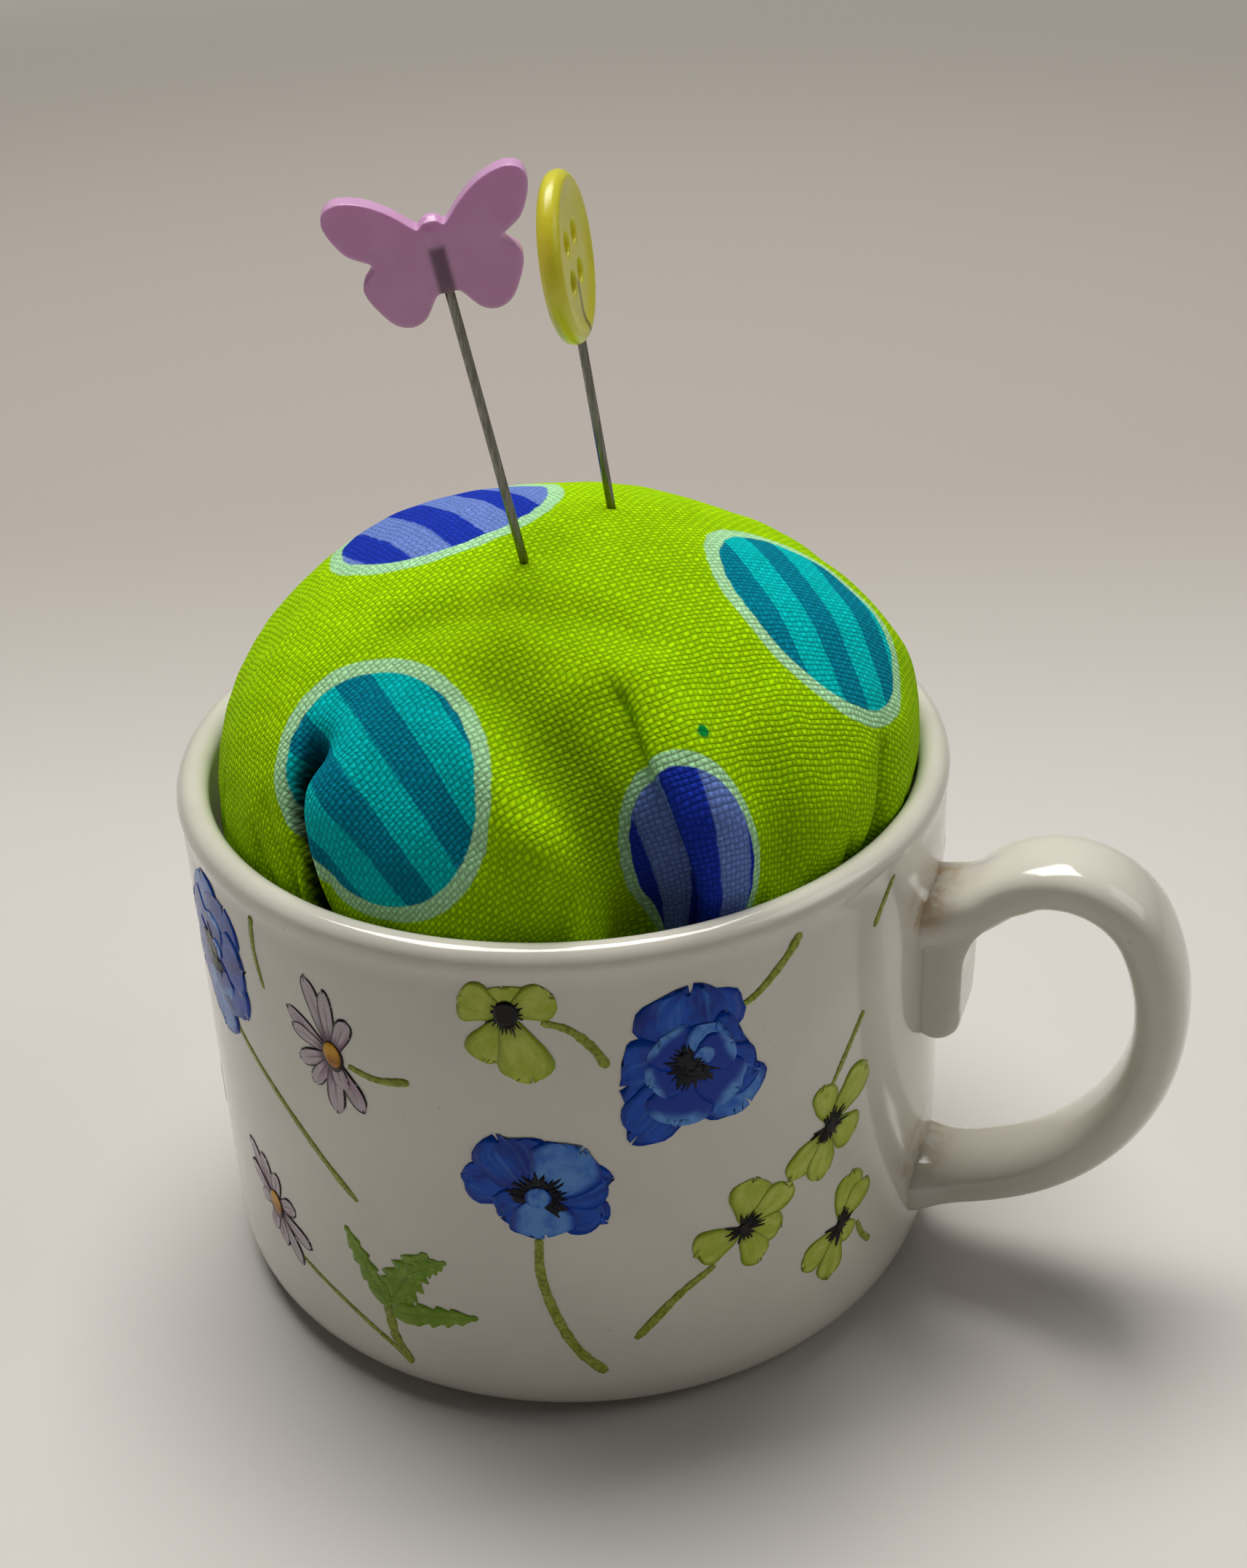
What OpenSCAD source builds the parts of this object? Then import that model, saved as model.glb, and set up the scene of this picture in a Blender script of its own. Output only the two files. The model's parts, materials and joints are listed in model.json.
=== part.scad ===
// Pin cushion: a stuffed cotton ball glued into a small handled china cup, with two long pins.
// Origin at the centre of the cup's foot, on the table. +Z is up and the handle points along +X.

/* [Cup] */
// Height of the cup to the top of its lip
cup_h = 38.5; // [34:0.5:44]
// Outer radius of the straight wall
cup_r = 26.35; // [25:0.05:28]
// Thickness of the wall
wall_t = 2.0; // [1.8:0.1:2.2]
// Radius of the rounded bead along the lip
lip_r = 1.1; // [1:0.05:1.3]
// Thickness of the floor
floor_t = 3.0; // [2.5:0.1:3.5]
// Height of the foot ring
foot_h = 1.2; // [1:0.1:1.5]
// Outer radius of the foot ring
foot_r = 23.0; // [21:0.5:24]
// Radial width of the foot ring
foot_w = 3.0; // [2:0.5:4]
// Height of the rounded lower corner of the wall
corner_h = 3.4; // [2.5:0.1:4]
// Radial depth of the rounded lower corner
corner_w = 0.9; // [0.5:0.1:1.2]

/* [Handle] */
// Width of the handle strap
strap_w = 6.6; // [6:0.1:8]
// Thickness of the handle strap
strap_t = 3.6; // [3:0.1:4]
// Radius of the tight arc at the top of the handle, on the strap's centre line
crown_r = 6.1; // [5.5:0.1:7]
// Distance of the crown arc's centre from the cup's axis
crown_x = 34.9; // [34:0.1:36]
// Height of the crown arc's centre
crown_z = 27.2; // [26:0.1:28]
// Radius of the long arc down the outside of the handle
bow_r = 15.9; // [15:0.1:17]
// Distance that the spur under the upper arm stands out from the wall
spur_t = 2.5; // [2:0.1:3]
// Height of the lower end of the spur
spur_z = 19.5; // [18:0.5:22]
// Width of the spur
spur_w = 5.8; // [5:0.1:5.8]

/* [Transfers] */
// Thickness of the printed flower transfers fired onto the wall
transfer_t = 0.06; // [0.04:0.01:0.1]
// Width of the printed stems
stem_w = 0.55; // [0.4:0.05:0.8]

/* [Cushion] */
// Greatest radius of the stuffed ball
ball_r = 24.1; // [23:0.05:24.1]
// Height of the dome above the widest level
dome_h = 15.9; // [13:0.1:18]
// Height of the widest level above the table
ball_z = 38.4; // [37:0.1:39]
// Depth of the ball below the widest level
ball_depth = 30.0; // [28:0.5:31]
// Thickness of the cotton cover
cotton_t = 0.35; // [0.25:0.05:0.5]
// Radius of the gathered neck under the ball
neck_r = 3.2; // [3:0.1:4]
// Diameter of the gathering thread
thread_d = 0.5; // [0.3:0.05:0.6]

/* [Pins] */
// Diameter of both steel shafts
shaft_d = 0.6; // [0.5:0.05:0.7]
// Free length of the butterfly pin, from the underside of its head to its point
butterfly_len = 42; // [38:1:42]
// Free length of the button pin, from the underside of its head to its point
button_len = 40; // [36:1:40]
// Length of the butterfly pin that shows above the fabric
butterfly_out = 18.0; // [15:0.5:20]
// Length of the button pin that shows above the fabric
button_out = 11.8; // [10:0.1:14]
// Thickness of the butterfly's wings
wing_t = 1.5; // [1.2:0.1:1.8]
// Diameter of the button head
button_d = 10.8; // [10:0.1:12]
// Thickness of the button's rim
button_t = 1.5; // [1.4:0.1:2.2]
// Radial gap between a shaft and its channel in the cushion
channel_gap = 0.06; // [0.04:0.01:0.1]

/* [Hidden] */
$fn = 48;
fit_gap = 0.02;
soft_gap = 0.06;
transfer_gap = 0.1;
far = 100;
inner_r = cup_r - wall_t;
floor_z = foot_h + floor_t;
lip_z = cup_h - lip_r;
lip_x = cup_r + 0.15 - lip_r;
inner_corner = 5;
foot_edge = 0.5;
// cushion outline
outline_steps = 20;
ball_power = 2.6;
ball_low = ball_z - ball_depth;
neck_drop = 2.6;
neck_t = 0.7;
// crown arc of the handle runs between these two angles, the bow arc on to bow_end
crown_start = 136;
crown_end = 25;
bow_end = -66;
heel_end = -86;
heel_r = 25;
root_r = 5.5;
root_sweep = 26;
section_steps = 20;
root_flare = 0.25;
flare_len = 4;
// entry point of each pin on the dome, the tilt of its shaft and the heading of that tilt
butterfly_at = [-0.05, -4.78, 54.05];
butterfly_tilt = 10.9;
butterfly_heading = 218;
butterfly_turn = 22;
button_at = [2.8, 4.1, 54.0];
button_tilt = 7.1;
button_heading = 202;
button_turn = 100.5;
shaft_r = shaft_d / 2;
channel_r = shaft_r + channel_gap;
point_h = 2.5;
point_r = 0.04;
channel_top = 4;
butterfly_grip = 3.4;
button_grip = 4.2;

// transfers: angle round the cup in degrees, height and radius in millimetres
ANEMONES = [[-132, 30.5, 5.0], [-75, 20.2, 4.4], [-53, 28.6, 5.3], [24, 32, 4.2], [78, 28.5, 5.2],
            [112, 14, 4.4], [168, 28.5, 5.0], [-160, 14, 4.4]];
PANSIES = [[-77.5, 33.4, 3.0], [-31, 20, 3.8], [-46, 14.8, 3.7], [-28.5, 10.6, 3.9], [28, 18.5, 3.6],
           [52, 31, 3.6], [54, 11, 3.8], [97, 22, 3.4], [136, 25, 3.8], [141, 10, 3.6], [-162, 25, 3.5]];
DAISIES = [[-104, 28.8, 4.8], [-122.5, 11.5, 4.9], [80, 11, 4.6], [110, 32, 4.2], [172, 11.5, 4.6]];
// transfers of leaves: angle round the cup, height of the base and lean of the sprig
LEAVES = [[-98, 7, 0], [42, 17.5, -20], [129, 31, 15], [-172, 8, -10]];
// stems: angle and height of one end, then of the other
STEMS = [[-128, 26, -103, 16.6], [-100, 28.5, -92, 29.4], [-115, 8, -100, 5.6], [-73, 33, -64.5, 31.5],
         [-75, 16, -71, 7], [-47, 32, -36, 36], [-25, 22.5, -21, 27], [-50, 12, -63, 8],
         [-117, 31, -118, 36.5], [-17, 36.5, -22, 34], [30, 15, 38, 6], [72, 24, 62, 14],
         [57, 28, 66, 20], [92, 19, 95, 7], [112, 10, 122, 5.8], [131, 22, 122, 12], [163, 24, 150, 15]];

// Squared-off ellipse: radius of the ball at a height, below its widest level.
function ball_low_r(z, inset) =
    (ball_r - inset) * pow(1 - pow((ball_z - z) / (ball_depth - inset), ball_power), 1 / ball_power);
// Outline of the ball from the axis at its foot up to the axis at its crown, drawn inwards by inset.
function ball_outline(inset) = concat(
    [[0, ball_low + inset]],
    [for (i = [1 : outline_steps]) let (a = 90 * i / outline_steps,
        z = ball_z - (ball_depth - inset) * pow(cos(a), 2 / ball_power))
        [ball_low_r(z, inset), z]],
    [for (i = [1 : outline_steps]) let (a = 90 * i / outline_steps)
        [i == outline_steps ? 0 : (ball_r - inset) * cos(a), ball_z + (dome_h - inset) * sin(a)]]);
// Outer outline of the wall's rounded lower corner, from the underside up to the straight wall.
function corner_points(steps) = [for (i = [0 : steps]) let (a = -90 + 90 * i / steps)
    [cup_r - corner_w + corner_w * cos(a), foot_h + corner_h + corner_h * sin(a)]];

module cup_profile() {
    difference() {
        union() {
            polygon(concat([[0, foot_h]], corner_points(10), [[cup_r, lip_z], [0, lip_z]]));
            translate([lip_x, lip_z]) circle(lip_r);
            translate([foot_r - foot_w, 0]) square([foot_w - foot_edge, foot_h + 1]);
            translate([foot_r - foot_edge - 0.01, foot_edge]) square([foot_edge + 0.01, foot_h]);
            translate([foot_r - foot_edge, foot_edge]) circle(foot_edge);
        }
        translate([0, floor_z + inner_corner]) square([inner_r, cup_h]);
        translate([0, floor_z]) square([inner_r - inner_corner, cup_h]);
        translate([inner_r - inner_corner, floor_z + inner_corner]) circle(inner_corner);
    }
}

module cup_body() {
    color("white") rotate_extrude($fn = 96) cup_profile();
}

// Stations along an arc in the XZ plane: each is a place and a heading.
function arc_stations(centre, radius, from, to, steps) = [for (i = [0 : steps])
    let (a = from + (to - from) * i / steps)
    [centre[0] + radius * cos(a), centre[1] + radius * sin(a), a + (to < from ? -90 : 90)]];
// How much the strap widens where it meets the wall.
function flare(x) = 1 + root_flare * pow(min(1, max(0, 1 - (x - cup_r) / flare_len)), 2);
// Rounded bar section, as offsets across the thickness and across the width.
function strap_section(scale_up) = [for (k = [0 : section_steps - 1])
    let (c = cos(360 * k / section_steps), s = sin(360 * k / section_steps))
    [scale_up * strap_t / 2 * sign(c) * pow(abs(c), 0.7), scale_up * strap_w / 2 * sign(s) * pow(abs(s), 0.7)]];

// Sweeps the strap's section along a list of stations.
module strap(stations) {
    last = len(stations) - 1;
    count = section_steps;
    polyhedron(
        points = [for (s = stations) for (q = strap_section(flare(s[0])))
            [s[0] - q[0] * sin(s[2]), q[1], s[1] + q[0] * cos(s[2])]],
        faces = concat(
            [[for (k = [count - 1 : -1 : 0]) k]],
            [for (i = [0 : last - 1], k = [0 : count - 1]) let (a = i * count + k, b = i * count + (k + 1) % count)
                [a, b, b + count, a + count]],
            [[for (k = [0 : count - 1]) last * count + k]]));
}

// Stub that runs down the wall from the underside of the upper arm, with a rounded lower end.
module spur() {
    end_r = (spur_t + 1) / 2;
    translate([cup_r - 1, 0, spur_z]) rotate([90, 0, 0]) linear_extrude(spur_w, center = true) {
        translate([0, end_r]) square([2 * end_r, crown_z + 2 - spur_z - end_r]);
        translate([end_r, end_r]) circle(end_r);
    }
}

module cup_handle() {
    crown_c = [crown_x, crown_z];
    root_c = crown_c + (crown_r + root_r) * [cos(crown_start), sin(crown_start)];
    bow_c = crown_c - (bow_r - crown_r) * [cos(crown_end), sin(crown_end)];
    heel_c = bow_c - (heel_r - bow_r) * [cos(bow_end), sin(bow_end)];
    root = arc_stations(root_c, root_r, crown_start + 180 - root_sweep, crown_start + 180, 4);
    root_heading = root[0][2];
    wall_end = [root[0][0] - 3.5, root[0][1] - 3.5 * tan(root_heading), root_heading];
    color("white") difference() {
        union() {
            strap(concat([wall_end], root,
                arc_stations(crown_c, crown_r, crown_start - 10, crown_end, 10),
                arc_stations(bow_c, bow_r, crown_end - 5, bow_end, 15),
                arc_stations(heel_c, heel_r, bow_end - 4, heel_end, 4)));
            spur();
        }
        translate([0, 0, -1]) cylinder(r = cup_r + fit_gap, h = far, $fn = 96);
    }
}

// Thin skin that hugs the straight wall, cut to the flat shapes given as children.
module on_wall() {
    intersection() {
        difference() {
            cylinder(r = cup_r + fit_gap + transfer_t, h = lip_z - 0.8, $fn = 96);
            translate([0, 0, -1]) cylinder(r = cup_r + fit_gap, h = far, $fn = 96);
        }
        children();
    }
}

// Stands a flat shape up against the wall, at an angle round the cup and a height.
module face_out(angle, height) {
    rotate([0, 0, angle]) translate([cup_r - 3, 0, height]) rotate([90, 0, 90]) linear_extrude(6) children();
}

module petals(count, reach, petal_r) {
    for (i = [0 : count - 1]) rotate([0, 0, 360 * i / count]) translate([reach, 0]) circle(petal_r);
    circle(reach);
}

module anemone_transfers() {
    color("royalblue") for (f = ANEMONES)
        on_wall() face_out(f[0], f[1]) petals(6, 0.58 * f[2], 0.42 * f[2]);
}

module pansy_transfers() {
    color("olivedrab") for (f = PANSIES)
        on_wall() face_out(f[0], f[1]) petals(5, 0.55 * f[2], 0.45 * f[2]);
}

module daisy_transfers() {
    color("lavender") for (f = DAISIES)
        on_wall() face_out(f[0], f[1]) petals(9, 0.76 * f[2], 0.24 * f[2]);
}

// A pointed leaf along +Y from the origin: the overlap of two equal circles.
module leaf(length, bulge) {
    arc_r = (length * length / 4 + bulge * bulge) / (2 * bulge);
    intersection_for (side = [-1, 1]) translate([side * (arc_r - bulge), length / 2]) circle(arc_r, $fn = 96);
}

module stem(s) {
    mid_angle = (s[0] + s[2]) / 2;
    rise = s[3] - s[1];
    run = (s[2] - s[0]) * PI / 180 * cup_r;
    face_out(mid_angle, (s[1] + s[3]) / 2) rotate([0, 0, atan2(rise, run)])
        square([norm([rise, run]), stem_w], center = true);
}

// Leaves and stems, stopped short of every flower.
module leaf_transfers() {
    color("yellowgreen") difference() {
        union() {
            for (l = LEAVES) on_wall() face_out(l[0], l[1]) rotate([0, 0, l[2]])
                for (lean = [-48, 0, 48]) rotate([0, 0, lean]) leaf(lean == 0 ? 7.5 : 6.5, 1.15);
            for (s = STEMS) on_wall() stem(s);
        }
        for (f = concat(ANEMONES, PANSIES, DAISIES)) face_out(f[0], f[1]) circle(f[2] + transfer_gap);
    }
}

// Places children at a pin's entry point, with +Z out along the pin.
module along_pin(at, tilt, heading) {
    translate(at) rotate([0, 0, heading]) rotate([0, tilt, 0]) children();
}

module butterfly_axis() {
    along_pin(butterfly_at, butterfly_tilt, butterfly_heading) rotate([0, 0, -butterfly_heading]) children();
}

module button_axis() {
    along_pin(button_at, button_tilt, button_heading) rotate([0, 0, -button_heading]) children();
}

// The channel that a pin parts in the cushion, deep enough for the pin pushed in to its head.
module channel(length) {
    translate([0, 0, -length]) cylinder(r = channel_r, h = length + channel_top);
}

module channels() {
    butterfly_axis() channel(butterfly_len);
    button_axis() channel(button_len);
}

module fabric_cover() {
    color("yellowgreen") difference() {
        rotate_extrude($fn = 96) difference() {
            union() {
                polygon(ball_outline(0));
                translate([0, ball_low - neck_drop]) square([neck_r, neck_drop + 1]);
            }
            polygon(ball_outline(cotton_t));
            translate([0, ball_low - neck_drop - 1]) square([neck_r - neck_t, neck_drop + 2]);
        }
        channels();
    }
}

module stuffing() {
    color("ivory") difference() {
        rotate_extrude($fn = 96) polygon(ball_outline(cotton_t + soft_gap));
        channels();
    }
}

module gathering_thread() {
    wrap_r = neck_r + fit_gap + thread_d / 2;
    wrap_z = ball_low - 1.5;
    knot_r = 0.75;
    color("darkolivegreen") difference() {
        union() {
            for (turn = [-0.5, 0.5]) translate([0, 0, wrap_z + turn * thread_d * 0.98])
                rotate_extrude($fn = 96) translate([wrap_r, 0]) circle(thread_d / 2);
            translate([wrap_r + 0.4, 0, wrap_z]) sphere(knot_r);
            for (lean = [-25, 20]) translate([wrap_r + 0.6, 0, wrap_z]) rotate([0, 85, lean])
                cylinder(d = thread_d, h = 4);
        }
        translate([0, 0, wrap_z - 5]) cylinder(r = neck_r + fit_gap, h = 10, $fn = 96);
    }
}

// Ring of hot-melt glue between the ball and the wall, in the wedge under the rim.
module wall_glue() {
    glue_top = ball_z - 9;
    glue_h = 6;
    steps = 6;
    heights = [for (i = [0 : steps]) glue_top - glue_h * i / steps];
    color("khaki") rotate_extrude($fn = 96) polygon(concat(
        [[inner_r - fit_gap, glue_top - glue_h], [inner_r - fit_gap, glue_top]],
        [for (z = heights) [ball_low_r(z, 0) + soft_gap, z]]));
}

// Ring of hot-melt glue between the underside of the ball and the floor.
module floor_glue() {
    glue_in = 9;
    glue_out = 13;
    color("khaki") intersection() {
        rotate_extrude($fn = 96) difference() {
            translate([glue_in, floor_z + fit_gap]) square([glue_out - glue_in, ball_depth / 3]);
            polygon(concat([[0, ball_low - soft_gap]], [for (p = ball_outline(-soft_gap)) if (p[0] > 0) p]));
        }
        cylinder(r = glue_out + 1, h = ball_z / 2);
    }
}

// A pin shaft along Z: its point down, its top held inside the head.
module shaft(out, length, grip) {
    translate([0, 0, out - length + point_h]) cylinder(r = shaft_r, h = length - point_h + grip);
    translate([0, 0, out - length]) cylinder(r1 = point_r, r2 = shaft_r, h = point_h);
}

module butterfly_shaft() {
    color("silver") butterfly_axis() shaft(butterfly_out, butterfly_len, butterfly_grip);
}

module button_shaft() {
    color("silver") button_axis() shaft(button_out, button_len, button_grip);
}

// One side of the butterfly in the XY plane, its body along Y and the shaft entering at the origin.
module wing_outline() {
    hull() {
        translate([4.9, 5.7]) circle(1.3);
        translate([4.6, 4.4]) circle(1.3);
        translate([0.4, 2.4]) circle(0.9);
    }
    hull() {
        translate([3.3, 0.7]) circle(1.9);
        translate([0.4, 1.6]) circle(0.9);
    }
}

module butterfly_head() {
    body_r = 0.85;
    body_h = 3.9;
    color("plum") butterfly_axis() translate([0, 0, butterfly_out]) rotate([0, 0, butterfly_turn])
        difference() {
            union() {
                rotate([90, 0, 0]) linear_extrude(wing_t, center = true) {
                    wing_outline();
                    mirror([1, 0]) wing_outline();
                }
                cylinder(r = body_r, h = body_h);
                translate([0, 0, body_h]) sphere(body_r);
            }
            translate([0, 0, -1]) cylinder(r = shaft_r, h = 1 + butterfly_grip);
        }
}

module button_head() {
    centre_z = button_out + button_d / 2;
    rim_w = 1.2;
    face_sink = 0.3;
    hole_r = 0.75;
    hole_pitch = 1.25;
    edge_r = button_t / 2;
    color("yellow") button_axis() rotate([0, 0, button_turn]) translate([0, 0, centre_z])
        rotate([90, 0, 0]) difference() {
            union() {
                cylinder(r = button_d / 2 - edge_r, h = button_t, center = true);
                rotate_extrude($fn = 96) translate([button_d / 2 - edge_r, 0]) circle(edge_r);
            }
            for (side = [0, 1]) mirror([0, 0, side]) translate([0, 0, button_t / 2 - face_sink])
                cylinder(r = button_d / 2 - edge_r - rim_w / 2, h = 1);
            for (x = [-1, 1], y = [-1, 1]) translate([x * hole_pitch, y * hole_pitch, 0])
                cylinder(r = hole_r, h = button_t + 1, center = true);
            translate([0, -button_d / 2 - 1, 0]) rotate([-90, 0, 0]) cylinder(r = shaft_r, h = 1 + button_grip);
        }
}

cup_body();
cup_handle();
anemone_transfers();
pansy_transfers();
daisy_transfers();
leaf_transfers();
fabric_cover();
stuffing();
gathering_thread();
wall_glue();
floor_glue();
butterfly_head();
butterfly_shaft();
button_head();
button_shaft();
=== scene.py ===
"""Looks for a pin cushion: a padded cotton ball in a small china cup, with two long pins.

Sizes are millimetres unless a name ends in _m or _M. MM turns them into metres.
"""

import json
import math
import random

import bmesh
import bpy
import numpy as np
from mathutils import Matrix, Vector


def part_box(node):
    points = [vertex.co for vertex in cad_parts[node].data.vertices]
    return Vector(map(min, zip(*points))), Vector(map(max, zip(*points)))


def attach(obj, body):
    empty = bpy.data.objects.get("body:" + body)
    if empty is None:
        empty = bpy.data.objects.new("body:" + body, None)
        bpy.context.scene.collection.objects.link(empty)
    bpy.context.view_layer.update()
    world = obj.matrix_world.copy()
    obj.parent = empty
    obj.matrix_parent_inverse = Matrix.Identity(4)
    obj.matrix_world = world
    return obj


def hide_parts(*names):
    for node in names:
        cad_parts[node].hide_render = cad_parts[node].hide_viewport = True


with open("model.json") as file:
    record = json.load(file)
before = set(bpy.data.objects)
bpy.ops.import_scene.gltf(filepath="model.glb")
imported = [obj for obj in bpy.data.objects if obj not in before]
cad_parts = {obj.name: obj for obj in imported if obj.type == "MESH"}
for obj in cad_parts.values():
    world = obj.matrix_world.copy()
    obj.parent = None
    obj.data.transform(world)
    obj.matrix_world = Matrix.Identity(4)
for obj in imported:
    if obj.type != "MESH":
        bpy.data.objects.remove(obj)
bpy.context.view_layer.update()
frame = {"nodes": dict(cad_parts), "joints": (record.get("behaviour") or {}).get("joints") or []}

MM = 0.001
TAU = 2 * math.pi
SCENE = bpy.context.scene


# ---------------------------------------------------------------- sizes read from the frame


def box_mm(node):
    low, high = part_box(node)
    return np.array(low) / MM, np.array(high) / MM


# The cup's wall and the round of its lip.
CUP_HIGH = box_mm("cup_body")[1]
LIP_OUT = CUP_HIGH[1]
LIP_TOP = CUP_HIGH[2]
WALL_R = LIP_OUT - 0.15
WALL_T = 2.0
LIP_R = 1.1
LIP_X = LIP_OUT - LIP_R
LIP_Z = LIP_TOP - LIP_R


# ---------------------------------------------------------------- small helpers


def linear(r, g, b):
    """Linear colour from 0-255 display values."""

    def one(c):
        c /= 255
        return c / 12.92 if c <= 0.04045 else ((c + 0.055) / 1.055) ** 2.4

    return (one(r), one(g), one(b), 1.0)


def smooth(a, b, x):
    """Smooth step from 0 at a to 1 at b."""
    t = np.clip((x - a) / (b - a), 0, 1)
    return t * t * (3 - 2 * t)


def add_object(name, data):
    made = bpy.data.objects.new(name, data)
    SCENE.collection.objects.link(made)
    return made


def new_mesh(name, points_m, faces):
    mesh = bpy.data.meshes.new(name)
    mesh.from_pydata(np.asarray(points_m, float).tolist(), [], [list(f) for f in faces])
    mesh.validate()
    mesh.update()
    shade_smooth(mesh)
    return mesh


def shade_smooth(mesh):
    mesh.polygons.foreach_set("use_smooth", [True] * len(mesh.polygons))


def mesh_piece(name, points_mm, faces, body, node):
    """A mesh object from points in millimetres that rides on a body and stands for a CAD node."""
    piece = add_object(name, new_mesh(name, np.asarray(points_mm, float) * MM, faces))
    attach(piece, body)
    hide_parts(node)
    return piece


def read_vectors(collection, key):
    values = np.zeros(len(collection) * 3)
    collection.foreach_get(key, values)
    return values.reshape(-1, 3)


def points_of(mesh):
    return read_vectors(mesh.vertices, "co")


def normals_of(mesh):
    return read_vectors(mesh.vertex_normals, "vector")


def set_points(mesh, co):
    mesh.vertices.foreach_set("co", np.asarray(co, float).ravel())
    mesh.update()


def add_vectors(mesh, name, values):
    """Stores one vector a vertex, for a material to read."""
    a = mesh.attributes.get(name) or mesh.attributes.new(name, "FLOAT_VECTOR", "POINT")
    a.data.foreach_set("vector", np.asarray(values, np.float32).ravel())


def bake_modifiers(piece):
    """Replaces the piece's mesh with the result of its modifiers."""
    depsgraph = bpy.context.evaluated_depsgraph_get()
    result = bpy.data.meshes.new_from_object(piece.evaluated_get(depsgraph))
    piece.modifiers.clear()
    old = piece.data
    piece.data = result
    bpy.data.meshes.remove(old)
    shade_smooth(result)
    return piece


def edit_mesh(piece, change):
    """Runs one bmesh change on a piece."""
    b = bmesh.new()
    b.from_mesh(piece.data)
    change(b)
    b.to_mesh(piece.data)
    b.free()
    piece.data.update()


def fix_outward(piece):
    edit_mesh(piece, lambda b: bmesh.ops.recalc_face_normals(b, faces=b.faces))


def subdivide(piece, levels):
    m = piece.modifiers.new("Subdivide", "SUBSURF")
    m.levels = m.render_levels = levels
    return bake_modifiers(piece)


def grid_faces(rows, columns, closed):
    """Quads of a grid of rows x columns points; closed joins the last column to the first."""
    faces = []
    for i in range(rows - 1):
        for k in range(columns if closed else columns - 1):
            n = (k + 1) % columns
            faces.append((i * columns + k, i * columns + n, (i + 1) * columns + n, (i + 1) * columns + k))
    return faces


def tube_faces(rings, sides):
    """Quads between rings of points, with a cap on the first and the last ring."""
    faces = grid_faces(rings, sides, True)
    faces.append(tuple(reversed(range(sides))))
    faces.append(tuple(range((rings - 1) * sides, rings * sides)))
    return faces


def turned(x, y, degrees):
    """Flat points turned about their origin, as pairs."""
    c, n = math.cos(math.radians(degrees)), math.sin(math.radians(degrees))
    return np.stack([x * c - y * n, x * n + y * c], -1)


def curve_through(points, steps):
    """Smooth curve through all but the first and last of some points, without its own end."""
    points = np.array(points)
    curve = []
    for a, b, c, d in zip(points, points[1:], points[2:], points[3:]):
        for t in np.arange(steps) / steps:
            cubic = (3 * b - a - 3 * c + d) * t**3
            curve.append(0.5 * (2 * b + (c - a) * t + (2 * a - 5 * b + 4 * c - d) * t**2 + cubic))
    return curve


# ---------------------------------------------------------------- node materials


class Value:
    """A number that a node gives, for plain arithmetic between nodes."""

    def __init__(self, shader, socket):
        self.shader = shader
        self.socket = socket

    def __add__(self, other):
        return self.shader.math("ADD", self, other)

    def __sub__(self, other):
        return self.shader.math("SUBTRACT", self, other)

    def __rsub__(self, other):
        return self.shader.math("SUBTRACT", other, self)

    def __mul__(self, other):
        return self.shader.math("MULTIPLY", self, other)

    def __truediv__(self, other):
        return self.shader.math("DIVIDE", self, other)

    def __pow__(self, other):
        return self.shader.math("POWER", self, other)

    def __abs__(self):
        return self.shader.math("ABSOLUTE", self)


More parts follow.
